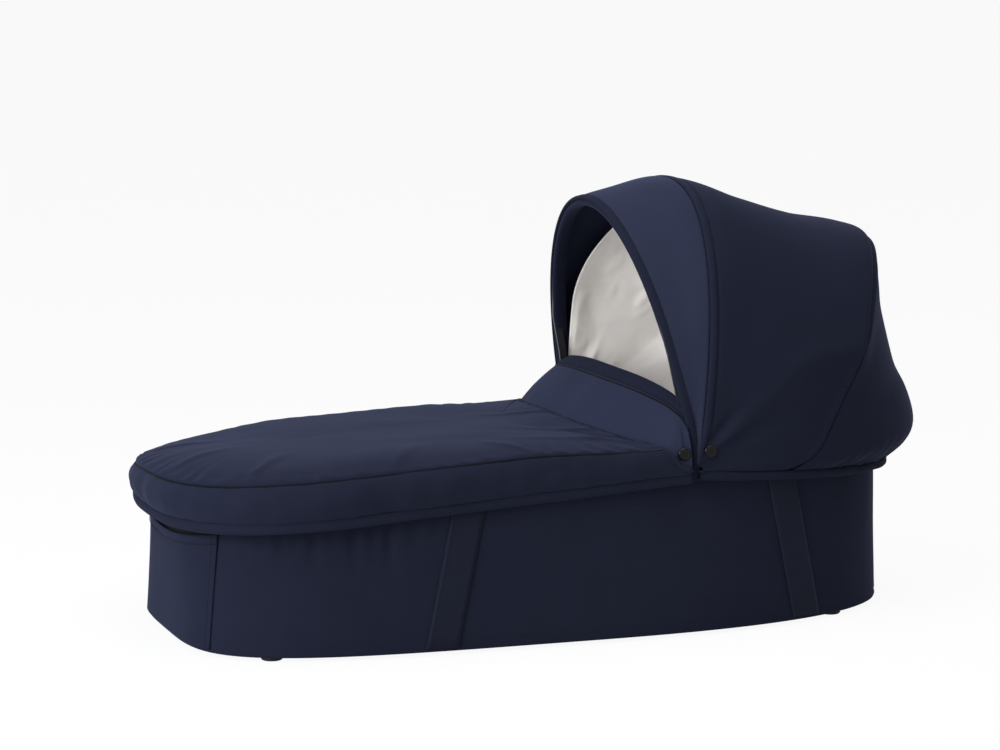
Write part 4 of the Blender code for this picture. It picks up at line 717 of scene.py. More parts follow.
def twill(name, shade, thread, painted_light_gain=1.0, sheen=0.15):
    """Woven polyester twill: fine diagonal ribs that soften its shine, and a slight bloom.

    The real ribs lie about 0.5 mm apart; they are drawn coarser, at the given thread spacing.
    """
    finish, tree, shader = new_finish(
        name, Roughness=0.82, Sheen_Weight=sheen, Sheen_Roughness=0.45,
        Sheen_Tint=linear(BLOOM), Specular_IOR_Level=0.03, IOR=1.5,
    )
    place = cloth_place(tree)
    spin = node(tree, "ShaderNodeMapping", [("Vector", place)], Rotation=(0, 0, RIB_TURN))
    ribs = add_waves(tree, spin.outputs["Vector"], thread,
                     Distortion=0.35, Detail=1.0, Detail_Scale=2.0)
    weft = add_waves(tree, place, thread * 0.8, bands_direction="Y", Distortion=0.2)
    weave = add_weave(tree, ribs, weft, 0.3)
    # painted_light_gain lifts the base colour: painted light for a lit copy of the twill
    base = shaded(linear(shade), painted_light_gain)
    ramp = add_ramp(tree, weave, shaded(base, 0.72), base, 0.15, 0.8)
    worn = tuple(min(part * 1.16 + 0.0008, 1) for part in base[:3]) + (1.0,)
    faded = node(tree, "ShaderNodeMix", data_type="RGBA", blend_type="MIX")
    cloud = add_grain(tree, 45 * MM, Detail=3.0, Roughness=0.55)
    tree.links.new(cloud, faded.inputs["Factor"])
    tree.links.new(ramp, faded.inputs["A"])
    tinted = node(tree, "ShaderNodeMix", data_type="RGBA", blend_type="MULTIPLY")
    tinted.inputs["Factor"].default_value = 1.0
    tree.links.new(ramp, tinted.inputs["A"])
    tinted.inputs["B"].default_value = tuple(w / max(b, 1e-6) for w, b in zip(worn, base))
    tree.links.new(tinted.outputs["Result"], faded.inputs["B"])
    tree.links.new(faded.outputs["Result"], shader.inputs["Base Color"])
    add_bump(tree, shader, weave, 0.22, 0.25 * MM)
    return finish


def ribbed_tape(name, shade, rib, sheen):
    """Woven tape or cord: narrow ribs across its length, a touch shinier than the twill."""
    finish, tree, shader = new_finish(
        name, Roughness=0.72, Sheen_Weight=sheen, Sheen_Roughness=0.4,
        Sheen_Tint=linear(BLOOM), Specular_IOR_Level=0.06,
    )
    place = cloth_place(tree)
    ribs = add_waves(tree, place, rib, Distortion=0.5, Detail=1.0)
    rows = add_waves(tree, place, rib * 0.9, bands_direction="Y", Distortion=0.2)
    weave = add_weave(tree, ribs, rows, 0.35)
    base = linear(shade)
    ramp = add_ramp(tree, weave, shaded(base, 0.6), base, 0.1, 0.75)
    tree.links.new(ramp, shader.inputs["Base Color"])
    add_bump(tree, shader, weave, 0.4, 0.3 * MM)
    return finish


def cotton(name, shade, thread):
    """Plain woven cotton lining: fine square weave, matt, creased light and shade."""
    finish, tree, shader = new_finish(
        name, Roughness=0.9, Sheen_Weight=0.15, Sheen_Roughness=0.5, Specular_IOR_Level=0.2,
    )
    place = cloth_place(tree)
    warp = add_waves(tree, place, thread, Distortion=0.4)
    weft = add_waves(tree, place, thread, bands_direction="Y", Distortion=0.4)
    base = linear(shade)
    cloud = add_grain(tree, 30 * MM, Detail=4.0)
    ramp = add_ramp(tree, cloud, shaded(base, 0.93), base, 0.3, 0.65)
    tree.links.new(ramp, shader.inputs["Base Color"])
    add_bump(tree, shader, add_weave(tree, warp, weft, 0.5), 0.15, 0.2 * MM)
    return finish


def moulded(name, shade, grit, roughness, relief, specular=0.5, metal=0.0):
    """A moulded or drawn surface: fine grain of a given grit that breaks up its gloss."""
    finish, tree, shader = new_finish(
        name, Metallic=metal, Specular_IOR_Level=specular, Roughness=roughness,
    )
    grain = add_grain(tree, grit, Detail=3.0, Roughness=0.6)
    base = linear(shade)
    ramp = add_ramp(tree, grain, shaded(base, 0.85), base, 0.35, 0.65)
    tree.links.new(ramp, shader.inputs["Base Color"])
    rough = node(tree, "ShaderNodeMapRange", [("Value", grain)],
                 To_Min=roughness * 0.85, To_Max=min(roughness * 1.15, 1.0))
    tree.links.new(rough.outputs["Result"], shader.inputs["Roughness"])
    add_bump(tree, shader, grain, relief, 0.2 * MM)
    return finish


def make_finishes(sizes):
    """Every finish of the cot by its short name; the cloth's shades come from the panel."""
    thread = sizes.thread_spacing
    return {
        # Navy polyester twill: dark, soft, with a faint blue bloom at glancing angles
        "twill": twill("navy_polyester_twill", sizes.navy_shade, thread),
        # Single layers of it, between the front bows and at the flap: painted light, the twill's colour
        # raised 1.8 times for the light behind and on them
        "thin": twill("twill_painted_lighter", sizes.navy_shade, thread, painted_light_gain=1.8),
        # The same cloth where it is doubled over a hem, pressed flatter
        "hem": twill("pressed_twill_hem", sizes.navy_shade, thread, sheen=0.04),
        # Piping, ribbons in sunk seams and a strip in the pocket's mouth, almost black: painted shade of the
        # grooves and the pocket, over the piping's real cord
        "seam": ribbed_tape("cord_and_painted_groove_shade", "090a10", thread, 0.0),
        # Carry straps in flat woven webbing
        "webbing": ribbed_tape("flat_woven_webbing", sizes.navy_shade, thread * 1.2, 0.14),
        # Sewing thread, a little shinier than the cloth
        "thread": moulded("navy_sewing_thread", sizes.thread_shade, 0.6 * MM, 0.7, 0.3, 0.1),
        # Creased white cotton of the hood's lining and the tub's liner
        "cotton": cotton("creased_white_cotton", sizes.lining_shade, thread),
        # Knitted cover of the mattress
        "mattress": cotton("knitted_mattress_cover", "e6e6e8", thread * 1.6),
        # Snap caps in glossy moulded nylon, almost black
        "snap": moulded("moulded_black_nylon", "08080a", 1.5 * MM, 0.26, 0.04, 0.16),
        # Hinge brackets and clips, the same nylon with a textured mould
        "nylon": moulded("textured_black_nylon", "17181c", 0.8 * MM, 0.5, 0.3, 0.3),
        # Springy flat bows in extruded plastic
        "bow": moulded("extruded_acetal_strip", "1d1e22", 3 * MM, 0.42, 0.1),
        # Base board in moulded polypropylene
        "board": moulded("moulded_polypropylene", "26272b", 1.0 * MM, 0.55, 0.35),
        # Feet in moulded rubber
        "rubber": moulded("moulded_rubber", "131315", 0.7 * MM, 0.78, 0.4, 0.3),
        # Grip in soft moulded foam rubber
        "grip": moulded("moulded_foam_rubber", "1c1d24", 1.2 * MM, 0.85, 0.5, 0.25),
        # Rim tube in drawn aluminium, satin
        "aluminium": moulded("drawn_satin_aluminium", "c2c4c8", 0.5 * MM, 0.36, 0.08, 0.5, 1.0),
        # Stays and pins in zinc plated steel
        "steel": moulded("zinc_plated_steel", "a9abb0", 0.6 * MM, 0.32, 0.1, 0.5, 1.0),
    }


FINISHES = {}


def finish_of(name):
    """A finish by its short name; the first call makes them all."""
    if not FINISHES:
        FINISHES.update(make_finishes(bpy.context.scene.carrycot_cloth))
    return FINISHES[name]


# Sizes and shades that a user would change
class CarrycotCloth(bpy.types.PropertyGroup):
    """Cloth of the cot: its shades, how coarse its ribs are drawn, and its stitches."""

    navy_shade: bpy.props.StringProperty(
        name="Navy shade", description="sRGB hex of the twill", default="1b1e2c")
    thread_shade: bpy.props.StringProperty(
        name="Thread shade", description="sRGB hex of the stitches", default="14161f")
    lining_shade: bpy.props.StringProperty(
        name="Lining shade", description="sRGB hex of the cotton lining", default="fffaf3")
    thread_spacing: bpy.props.FloatProperty(
        name="Twill rib spacing", description="Spacing that the twill's ribs are drawn at",
        default=1.5 * MM, min=0.3 * MM, unit="LENGTH")
    stitch_pitch: bpy.props.FloatProperty(
        name="Stitch pitch", description="Distance from one stitch to the next",
        default=4.4 * MM, min=1 * MM, unit="LENGTH")


class CarrycotFolds(bpy.types.PropertyGroup):
    """Depths of the folds and puckers in each part of the cot."""

    gather_depth: bpy.props.FloatProperty(
        name="Gathers", description="Depth of the tub's elastic gathers",
        default=4.2 * MM, min=0, unit="LENGTH")
    apron_puff: bpy.props.FloatProperty(
        name="Apron folds", description="Height of the padded apron's soft folds",
        default=2.2 * MM, min=0, unit="LENGTH")
    pucker_depth: bpy.props.FloatProperty(
        name="Seam puckers", description="Depth of the puckers beside the apron's seams",
        default=1.5 * MM, min=0, unit="LENGTH")
    hood_crease: bpy.props.FloatProperty(
        name="Hood creases", description="Height of the creases that spread from the snaps",
        default=1.8 * MM, min=0, unit="LENGTH")
    lining_wrinkle: bpy.props.FloatProperty(
        name="Lining wrinkles", description="Height of the wrinkles in the white lining",
        default=2.6 * MM, min=0, unit="LENGTH")


# Tub: columns of its pieces, its elastic gathers as x and reach down the wall, the liner's
# roll over the rim as inset and rise in millimetres, and the mattress's edge and crown
COVER_COLUMNS = 520
LINER_COLUMNS = 360
PAD_COLUMNS = 300
GATHERS = (
    (-326, 0.55), (-309, 0.75), (-297, 0.6), (-279, 0.8), (-262, 0.5), (-240, 0.85),
    (-221, 0.7), (-205, 0.9), (-180, 0.6), (-158, 0.5),
)
GATHER_WIDTH = 5.2 * MM
LINER_ROLL = ((18.0, -0.5), (15, 0.3), (10.5, 0.7), (5.5, 0.5), (2.8, 0.1))
PAD_EDGE = 9 * MM
PAD_CROWN = 6 * MM


def tub_folds(grid, level, gather):
    """How far the tub's cloth stands out: elastic gathers by the foot, and soft waves."""
    x, y = grid[..., 0], grid[..., 1]
    away = np.zeros(x.shape)
    for side, slip in ((RIGHT, 0.0), (LEFT, 7.0)):
        for place, reach in GATHERS:
            near = bell(x - (place + slip) * MM, GATHER_WIDTH) * (y * side > 0)
            away -= near * smooth((level - (0.74 - reach * 0.34)) / 0.3) * reach
    waves = cloth_noise(grid * (1, 1, 0.35), 34 * MM, 3) * 0.5 * MM
    broad = cloth_noise(grid, 120 * MM, 5) * 1.2 * MM
    head = smooth((x - 290 * MM) / (60 * MM)) * smooth((level - 0.3) / 0.5)
    pleats = np.sin(np.arctan2(y, x - 200 * MM) * 26 + cloth_noise(grid, 60 * MM, 8) * 2)
    return gather * away + (waves + broad) * smooth(level / 0.12) + head * pleats * 0.35 * MM


def build_tub_cover(gather):
    """The cover: turned in under the board, gathered by elastic toward the foot end."""
    shares = np.arange(COVER_COLUMNS) / COVER_COLUMNS
    rows = [
        tub_row(shares, 0, 12.3 * MM, 0.3 * MM),
        tub_row(shares, 0, 6 * MM, 0.2 * MM),
        tub_row(shares, 0, 2.4 * MM, 0.3 * MM),
        tub_row(shares, 0, 0.8 * MM, 1.1 * MM),
    ]
    levels = [0.0] * len(rows)
    for level in np.linspace(0.018, 0.975, 46):
        rows.append(tub_row(shares, level))
        levels.append(level)
    for drop, inset in ((-1.8, 0.4), (-0.6, 1.2), (-0.1, 2.4)):
        row = tub_row(shares, 1.0, inset * MM)
        row[:, 2] += drop * MM
        rows.append(row)
        levels.append(1.0)
    grid = np.array(rows)
    level = np.array(levels)[:, None]
    normal = grid_normals(grid, wrap=True)
    away = tub_folds(grid, level, gather)
    seam = bell(grid[..., 2] - 7 * MM, 1.3 * MM) * 0.7 * MM
    away = away * (1 - 0.8 * smooth((level - 0.93) / 0.07)) - seam
    grid = grid + normal * away[..., None]
    return cloth("tub_cover", grid, COVER_CLOTH, finish_of("twill"), wrap=True)


def tub_wall(shares, heights):
    """Grid on the tub's wall: a row for each row of heights."""
    low, high = tub_row(shares, 0, 0, 0), tub_row(shares, 1.0)
    grid = lerp(low, high, (heights / TOP_HINGE[1])[..., None])
    grid[..., 2] = heights
    return grid


def foot_panel_grid():
    """The foot panel's outer face, hemmed and standing a little slack along its top."""
    across = np.linspace(-1, 1, 150)
    shares = 0.5 + across * FOOT_PANEL_REACH
    top = lerp(FOOT_PANEL_MID_TOP, FOOT_PANEL_SIDE_TOP, across ** 2)
    level = np.linspace(0, 1, 48)[:, None]
    grid = tub_wall(shares, lerp(FOOT_PANEL_BOTTOM, top, level))
    normal = grid_normals(grid)
    slack = FOOT_PANEL_SLACK * (1 - across ** 2) * level ** 2
    wave = cloth_noise(grid, 60 * MM, 12) * 0.6 * MM * (1 - across ** 8)
    fall = (1 - level) * top[None, :]
    hem = 0.4 * MM * smooth((FOOT_PANEL_HEM - fall) / (1.5 * MM))
    groove = -0.9 * MM * bell(fall - FOOT_PANEL_HEM, 1.1 * MM)
    away = 1.7 * MM + slack + wave * level ** 0.5 + hem + groove
    return grid + normal * away[..., None], normal


def build_foot_panel():
    """The foot panel, with its face's grid and normals."""
    grid, normal = foot_panel_grid()
    panel = cloth("foot_panel_cloth", grid, PANEL_CLOTH, finish_of("twill"))
    return panel, grid, normal


def build_pocket_shadow():
    """Near-black strip behind the foot panel's slack top edge: painted shadow in the pocket's mouth."""
    across = np.linspace(-0.97, 0.97, 120)
    shares = 0.5 + across * FOOT_PANEL_REACH
    top = lerp(FOOT_PANEL_MID_TOP, FOOT_PANEL_SIDE_TOP, across ** 2)
    rise = np.linspace(-3 * MM, POCKET_SHADOW_RISE, 12)[:, None]
    grid = tub_wall(shares, top + rise * (1 - across ** 6))
    grid = grid + grid_normals(grid) * 1.5 * MM
    return cloth("foot_pocket_painted_shadow", grid, FACING_CLOTH, finish_of("seam"))


def strap_rows(side):
    """Rows across the webbing, from the foot leg's bottom over the rim and back outside."""
    half = STRAP_WIDTH / 2
    offsets = np.linspace(-half, half, 9)
    parts = []
    for (bottom, top), way in zip(STRAP_LEGS, (1, -1)):
        rows = []
        peak = cover_top(top) + 1.3 * MM
        for share in np.linspace(0, 1, LEG_ROWS):
            z = lerp(4 * MM, peak - 3 * MM, share)
            rows.append((lerp(bottom, top, share), z, 0.0, way, 0.0))
        for share in np.linspace(0, 1, 9):
            rows.append((top, peak + 0.9 * MM * math.sin(math.pi * share), share, way, 0.0))
        low = HANDLE_HEIGHT + HANDLE_TURN
        for share in np.linspace(0.1, 1, 4):
            rows.append((top, lerp(peak - 3 * MM, low, share), 1.0, way, 0.0))
        for turn in np.linspace(0, math.pi / 2, 9)[1:]:
            x = top + way * HANDLE_TURN * (1 - math.cos(turn))
            z = low - HANDLE_TURN * math.sin(turn)
            rows.append((x, z, 1.0, way * math.cos(turn), math.sin(turn)))
        parts.append(rows)
    rows = parts[0] + parts[1][::-1]
    grid = []
    for x, z, share, wide_x, wide_z in rows:
        xs = x + offsets * wide_x
        zs = z + offsets * wide_z
        if 0 < share < 1 or (share == 1 and z > cover_top(x)):
            zs = zs + cover_top(xs) - cover_top(x)
        outer = tub_side_y(xs, zs) + 0.5 * MM
        inner = tub_side_y(xs, zs) - HANDLE_INSET
        grid.append(np.column_stack((xs, side * lerp(outer, inner, share), zs)))
    grid = np.array(grid)
    if side == LEFT:
        grid = grid[:, ::-1]
    return grid


def build_strap(side):
    """One loop of flat webbing with raised selvedges."""
    base = strap_rows(side)
    normal = grid_normals(base)
    edge = np.abs(np.linspace(-1, 1, base.shape[1]))
    height = STRAP_THICKNESS + 0.25 * MM * smooth((edge - 0.8) / 0.2)
    grid = base + normal * height[None, :, None]
    strap = cloth(f"strap_webbing_{SIDES[side]}", grid, STRAP_THICKNESS, finish_of("webbing"))
    return strap, grid, normal


def build_liner():
    """White bag inside the tub: floor, wrinkled wall, and the facing over the rim tube."""
    shares = (1 - np.arange(LINER_COLUMNS) / LINER_COLUMNS) % 1.0
    rows, wavy = [], []
    inset = LINER_INSET + 1.2 * MM
    for reach in (0.03, 0.3, 0.6, 0.85, 0.97):
        row = tub_row(shares, 0, inset, LINER_FLOOR + 1.4 * MM)
        row[:, :2] *= reach
        rows.append(row)
        wavy.append(0.0)
    floor_level = (LINER_FLOOR + 3 * MM) / TOP_HINGE[1]
    for level in np.linspace(floor_level, 0.975, 30):
        rows.append(tub_row(shares, level, inset))
        wavy.append(math.sin(math.pi * level) ** 0.5)
    for roll, rise in LINER_ROLL:
        row = tub_row(shares, 1.0, roll * MM)
        row[:, 2] += rise * MM
        rows.append(row)
        wavy.append(0.0)
    grid = np.array(rows)
    normal = grid_normals(grid, wrap=True)
    wave = cloth_noise(grid * (1, 1, 0.5), 30 * MM, 21) * 1.3 * MM
    away = wave * np.array(wavy)[:, None]
    grid = grid + normal * away[..., None]
    return cloth("tub_liner", grid, LINING_CLOTH, finish_of("cotton"), wrap=True)


def build_mattress():
    """A crowned pad with rounded sides."""
    shares = np.arange(PAD_COLUMNS) / PAD_COLUMNS
    low = LINER_FLOOR + 2.0 * MM
    rows = []
    for reach in (0.03, 0.5):
        row = tub_row(shares, 0, MATTRESS_INSET + 12 * MM, low)
        row[:, :2] *= reach
        rows.append(row)
    for turn in np.linspace(-math.pi / 2, math.pi / 2, 13):
        inset = MATTRESS_INSET + PAD_EDGE * (1 - math.cos(turn) ** 0.6)
        height = low + MATTRESS_THICKNESS * (0.5 + 0.5 * math.sin(turn))
        rows.append(tub_row(shares, 0, inset, height))
    top = low + MATTRESS_THICKNESS
    for reach in (0.96, 0.9, 0.8, 0.65, 0.45, 0.25, 0.03):
        row = tub_row(shares, 0, MATTRESS_INSET + PAD_EDGE, top)
        row[:, :2] *= reach
        row[:, 2] += PAD_CROWN * (1 - reach ** 4)
        rows.append(row)
    grid = np.array(rows)
    normal = grid_normals(grid, wrap=True)
    soft = cloth_noise(grid, 70 * MM, 31) * 0.8 * MM
    upper = smooth((grid[..., 2] - low) / (20 * MM))
    grid = grid + normal * (soft * upper)[..., None]
    return solid_of_rings("mattress_pad", grid, finish_of("mattress"))


def solid_of_rings(name, rings, finish, capped=True):
    """A closed body from rings; the last is capped, or else lies on a line. UV is its plan."""
    rows, cols = rings.shape[:2]
    faces = []
    for i in range(rows - 1):
        for j in range(cols):
            k = (j + 1) % cols
            a, b, c, d = i * cols + j, i * cols + k, (i + 1) * cols + k, (i + 1) * cols + j
            faces.append((a, b, c, d))
    faces.append(tuple(range(cols))[::-1])
    if capped:
        faces.append(tuple((rows - 1) * cols + j for j in range(cols)))
    flat = rings.reshape(-1, 3)
    uvs = [flat[index][:2] for face in faces for index in face]
    return mesh_object(name, flat, faces, finish, uvs)


# Apron: points along its edge, along the flap's seam, its band and its piping
APRON_LOOP = 440
SEAM_LOOP = 120
BAND_COLUMNS = 560
PIPING_COLUMNS = 520

# Drag folds of the apron's top in millimetres: where each starts and ends, and its width
APRON_DRAGS = (
    ((70, -178), (-30, -95), 9), ((58, -150), (-95, -120), 10), ((45, -90), (-60, -40), 12),
    ((40, 40), (-70, 60), 13), ((-390, -60), (-300, -10), 12), ((-380, 70), (-300, 40), 11),
    ((-330, -150), (-270, -80), 10), ((-200, -190), (-150, -110), 10),
    ((-60, -190), (-100, -120), 9),
)

# Section of the apron's hem from its top down: lift as a share of its half height, and how
# far out in millimetres
APRON_HEM_FOLD = (
    (1.05, -2.4), (0.98, -1.2), (0.88, -0.1), (0.62, 0.7), (0.3, 1.0), (-0.2, 1.1),
    (-0.6, 0.8), (-0.88, 0.2), (-1.0, -0.6), (-1.02, -1.6),
)


def flap_seam_knots():
    """Knots of the flap's seam, from its left end to the middle."""
    corner, half = APRON_CORNER_X, APRON_WIDTH / 2
    seam_x, seam_z = FLAP_SEAM
    end_x, end_y, end_z = FLAP_END
    return [
        (end_x, end_y, end_z),
        (lerp(end_x, corner, 0.4), end_y, end_z + PIPING_RADIUS * 2),
        (corner + SNAP_RADIUS, half * 0.973, FLAP_SNAP[1]),
        (lerp(corner, seam_x, 0.1), half * 0.86, seam_z - FLAP_BULGE * 1.4),
        (lerp(corner, seam_x, 0.65), half * 0.49, seam_z - FLAP_BULGE / 3),
        (seam_x, 0, seam_z),
    ]


def flap_top_knots():
    """Knots of the flap's top edge, from its left end to the middle."""
    half = APRON_WIDTH / 2
    top_x, top_z = FLAP_TOP
    end_x = FLAP_END[0]
    drop = top_z - FLAP_SNAP[1]
    shares = ((1.0, 0.945, 0.44), (1.15, 0.906, 0.33), (0.93, 0.837, 0.22),
              (0.55, 0.690, 0.10), (0.2, 0.394, 0.02))
    knots = [(lerp(top_x, end_x, a), half * b, top_z - drop * c) for a, b, c in shares]
    return knots + [(top_x, 0, top_z)]


def across_curve(knots, shares):
    """Points on a curve given for the left half; shares 0 to 1 from left to right."""
    shares = np.asarray(shares, float)
    points = curve_through(knots, 1 - np.abs(2 * shares - 1))
    points[:, 1] *= np.where(shares > 0.5, -1, 1)
    return points


def flap_seam(shares):
    """The flap's seam; its left part is drawn a little toward the foot end."""
    points = across_curve(flap_seam_knots(), shares)
    left = smooth(points[:, 1] / (APRON_WIDTH * 0.43))
    high = smooth((points[:, 2] - FLAP_END[2]) / (14 * MM))
    points[:, 0] -= FLAP_SKEW * left * high
    return points


def apron_edge(inset):
    """The apron top's edge: round the foot end, then back along the flap's seam."""
    place, normal = apron_outline(np.linspace(0, 1, APRON_LOOP), APRON_CORNER_X)
    place = place - normal * inset
    reach = np.where(place[:, 1] > 0, APRON_CORNER_X - FLAP_SKEW, APRON_CORNER_X)
    place[:, 0] = np.minimum(place[:, 0], reach)
    place[:, 2] = apron_plane(place[:, 0], place[:, 1])
    fine = flap_seam(np.linspace(0, 1, 800))
    wide = np.linspace(-1, 1, SEAM_LOOP + 1)[1:-1] * place[0, 1]
    order = np.argsort(fine[:, 1])
    back = np.column_stack((
        np.interp(wide, fine[order, 1], fine[order, 0]),
        wide,
        np.interp(wide, fine[order, 1], fine[order, 2]),
    ))
    reach = np.where(wide > 0, APRON_CORNER_X - FLAP_SKEW, APRON_CORNER_X)
    back[:, 0] = np.minimum(back[:, 0], reach) - 1.4 * MM
    return np.concatenate((place, back))


def apron_top_folds(grid, reach, arc, folds):
    """Height of the padded top's folds: puckers along its seams and long drag folds."""
    edge_gap = (1 - reach) * 0.17
    slow = seam_noise(arc * 0.4, 22 * MM, 41)
    pucker = np.sin(arc / (27 * MM) * 2 * math.pi + slow * 5) * (0.6 + 0.6 * slow)
    away = folds.pucker_depth * pucker * np.exp(-edge_gap / (16 * MM)) * smooth(edge_gap / 0.004)
    away = away + cloth_noise(grid * (0.8, 1, 1), 90 * MM, 43) * folds.apron_puff
    away = away + cloth_noise(grid * (0.5, 1, 1), 38 * MM, 45) * folds.apron_puff * 0.22
    flat = grid[..., :2]
    for start, end, width in APRON_DRAGS:
        line = crease(flat, np.array(start) * MM, np.array(end) * MM, width * MM)
        away = away + line * folds.apron_puff * 0.75
    return away * smooth((1 - reach) / 0.03)


def build_apron_top(folds):
    """The padded panel: crowned, pinched down to its piped seam, with soft drag folds."""
    edge = apron_edge(2.6 * MM)
    arc = arc_along(edge)
    spine_x = np.clip(edge[:, 0], -260 * MM, -30 * MM)
    spine = np.column_stack((spine_x, 0 * spine_x, 0 * spine_x))
    reaches = np.concatenate(([1.0, 0.996, 0.988, 0.975, 0.96], np.linspace(0.94, 0.0, 44)))
    rows = []
    for reach in reaches:
        row = lerp(spine, edge, reach)
        lift = (edge[:, 2] - apron_plane(edge[:, 0], edge[:, 1])) * reach ** 2
        ease = 1 - 0.62 * smooth((row[:, 0] + 230 * MM) / (300 * MM))
        crown = APRON_CROWN * ease * (1 - reach ** 5) ** 0.6
        row[:, 2] = apron_plane(row[:, 0], row[:, 1]) + lift + crown
        rows.append(row)
    roll = 3.4 * MM * bell((np.array(reaches) - 0.98) / 0.02, 1.0)
    index = np.arange(len(edge))
    free = smooth(np.minimum(index / 60, (APRON_LOOP - index) / 14))
    for row, out in zip(rows, roll):
        away = row - lerp(spine, edge, 0.9)
        away[:, 2] = 0
        row += unit(away) * out * lerp(0.15, 1, free)[:, None]
    tuck = apron_edge(5 * MM)
    tuck[:, 2] -= 3.2 * MM
    grid = np.array([tuck] + rows)
    reach = np.concatenate(([1.0], reaches))[:, None] + 0 * arc[None, :]
    away = apron_top_folds(grid, reach, arc[None, :] + 0 * reach, folds)
    grid[..., 2] += away
    under = grid[:1] - (0, 0, 1.5 * MM)
    return padded_plate("apron_top_panel", grid, under, finish_of("twill"))


def padded_plate(name, grid, under, finish):
    """A padded panel: a flat back, then rings from its tucked edge up to a spine."""
    piece = solid_of_rings(name, np.concatenate((under, grid)), finish, capped=False)
    weld(piece, 0.05 * MM)
    return piece


def weld(piece, distance):
    """Joins points that coincide, as along the spine of a padded panel."""
    build = bmesh.new()
    build.from_mesh(piece.data)
    bmesh.ops.remove_doubles(build, verts=build.verts, dist=distance)
    bmesh.ops.dissolve_degenerate(build, edges=build.edges, dist=distance / 10)
    build.to_mesh(piece.data)
    build.free()
    piece.data.shade_smooth()


def band_top(x, y):
    """Top of the side band: under the piping, then down beside the flap's corner."""
    seam = curve_through(flap_seam_knots(), np.linspace(0.55, 0, 80))
    down = np.interp(x, np.maximum.accumulate(seam[:, 0]), seam[:, 2]) - 0.6 * MM
    return np.where(x <= APRON_CORNER_X, apron_plane(x, y) - PIPING_RADIUS * 1.3, down)


def band_frame():
    """Points of the band's outline in plan, its normals and the lengths along it."""
    place, normal = apron_outline(np.linspace(0, 1, BAND_COLUMNS), APRON_END_X)
    return place, normal, arc_along(place)


def build_apron_band(folds):
    """The wadded side band: it puffs out between its two seams and puckers along them."""
    place, normal, arc = band_frame()
    x = place[:, 0]
    top = band_top(x, place[:, 1])
    low = parabola(x, APRON_HEM) + HEM_HEIGHT + 1.6 * MM
    swell = BAND_BULGE - FOOT_DRAW * foot_share(x)
    fade = np.clip((APRON_END_X - x) / (24 * MM), 0, 1) ** 0.7
    slow = seam_noise(arc, 60 * MM, 51)
    quick = seam_noise(arc, 21 * MM, 52)
    rows = []
    for drop in np.concatenate(([0.0, 0.02, 0.05], np.linspace(0.1, 0.9, 19), [0.95, 0.98, 1.0])):
        puff = math.sin(math.pi * drop) ** 0.45
        pucker = folds.pucker_depth * 0.9 * quick * math.sin(math.pi * drop) ** 0.5
        sag = slow * 1.5 * MM * puff
        out = swell * puff * fade + (pucker + sag) * fade - 4.6 * MM * (1 - puff) * fade
        row = place + normal * out[:, None]
        row[:, 2] = lerp(top, low, drop)
        rows.append(row)
    grid = np.array(rows)
    normals = grid_normals(grid)
    away = cloth_noise(grid * (1, 1, 1.7), 24 * MM, 55) * 0.9 * MM
    long_fold = np.sin(grid[..., 2] / (9 * MM) + cloth_noise(grid, 130 * MM, 57) * 4)
    inner = smooth(np.minimum(np.linspace(0, 1, len(rows)), np.linspace(1, 0, len(rows))) * 6)
    away = (away + long_fold * 0.55 * MM) * inner[:, None] * fade[None, :]
    grid = grid + normals * away[..., None]
    return cloth("apron_side_band", grid, BAND_CLOTH, finish_of("twill"))


def hem_paths():
    """Wavy path of the hem's middle, with its outward normals."""
    place, normal, arc = band_frame()
    wave = seam_noise(arc, 48 * MM, 61) * 0.7 * MM
    dip = seam_noise(arc, 75 * MM, 63) * 0.7 * MM
    x = place[:, 0]
    ease = smooth((APRON_END_X - x) / (30 * MM))
    path = place + normal * ((wave - 0.6 * MM) * ease)[:, None]
    path[:, 2] = parabola(x, APRON_HEM) + HEM_HEIGHT / 2 + dip * ease
    return path, normal


def build_apron_hem():
    """The doubled hem under the band, rolled at its lower edge and pressed at its upper."""
    path, normal = hem_paths()
    up = np.array((0, 0, 1.0))
    rows = [path + up * lift * HEM_HEIGHT / 2 + normal * out * MM
            for lift, out in APRON_HEM_FOLD]
    return cloth("apron_hem_fold", np.array(rows), HEM_CLOTH, finish_of("hem"))


def build_apron_piping():
    """Covered cord in the seam between top and band, near black: the real cord with the groove's painted
    shade.
    """
    place, normal = apron_outline(np.linspace(0, 1, PIPING_COLUMNS), APRON_CORNER_X)
    place[:, 2] = apron_plane(place[:, 0], place[:, 1])
    path = place - normal * 1.4 * MM
    path[:, 2] -= PIPING_RADIUS * 0.55
    _, across = path_ways(path, normal)
    return sweep("apron_piping_and_painted_shade", path, normal, across, PIPING_RADIUS, PIPING_RADIUS,
                 finish_of("seam"), sides=10)


def build_hem_groove_shadow():
    """Near-black ribbon in the sunk seam between the side band and its hem: painted shade in its groove."""
    path, normal = hem_paths()
    path = path + normal * 0.1 * MM
    path[:, 2] += HEM_HEIGHT / 2 + 0.7 * MM
    _, across = path_ways(path, normal)
    return sweep("apron_hem_groove_shadow", path, normal, across, SEAM_SHADE_HALF_WIDTH, 1.2 * MM,
                 finish_of("seam"), sides=8)


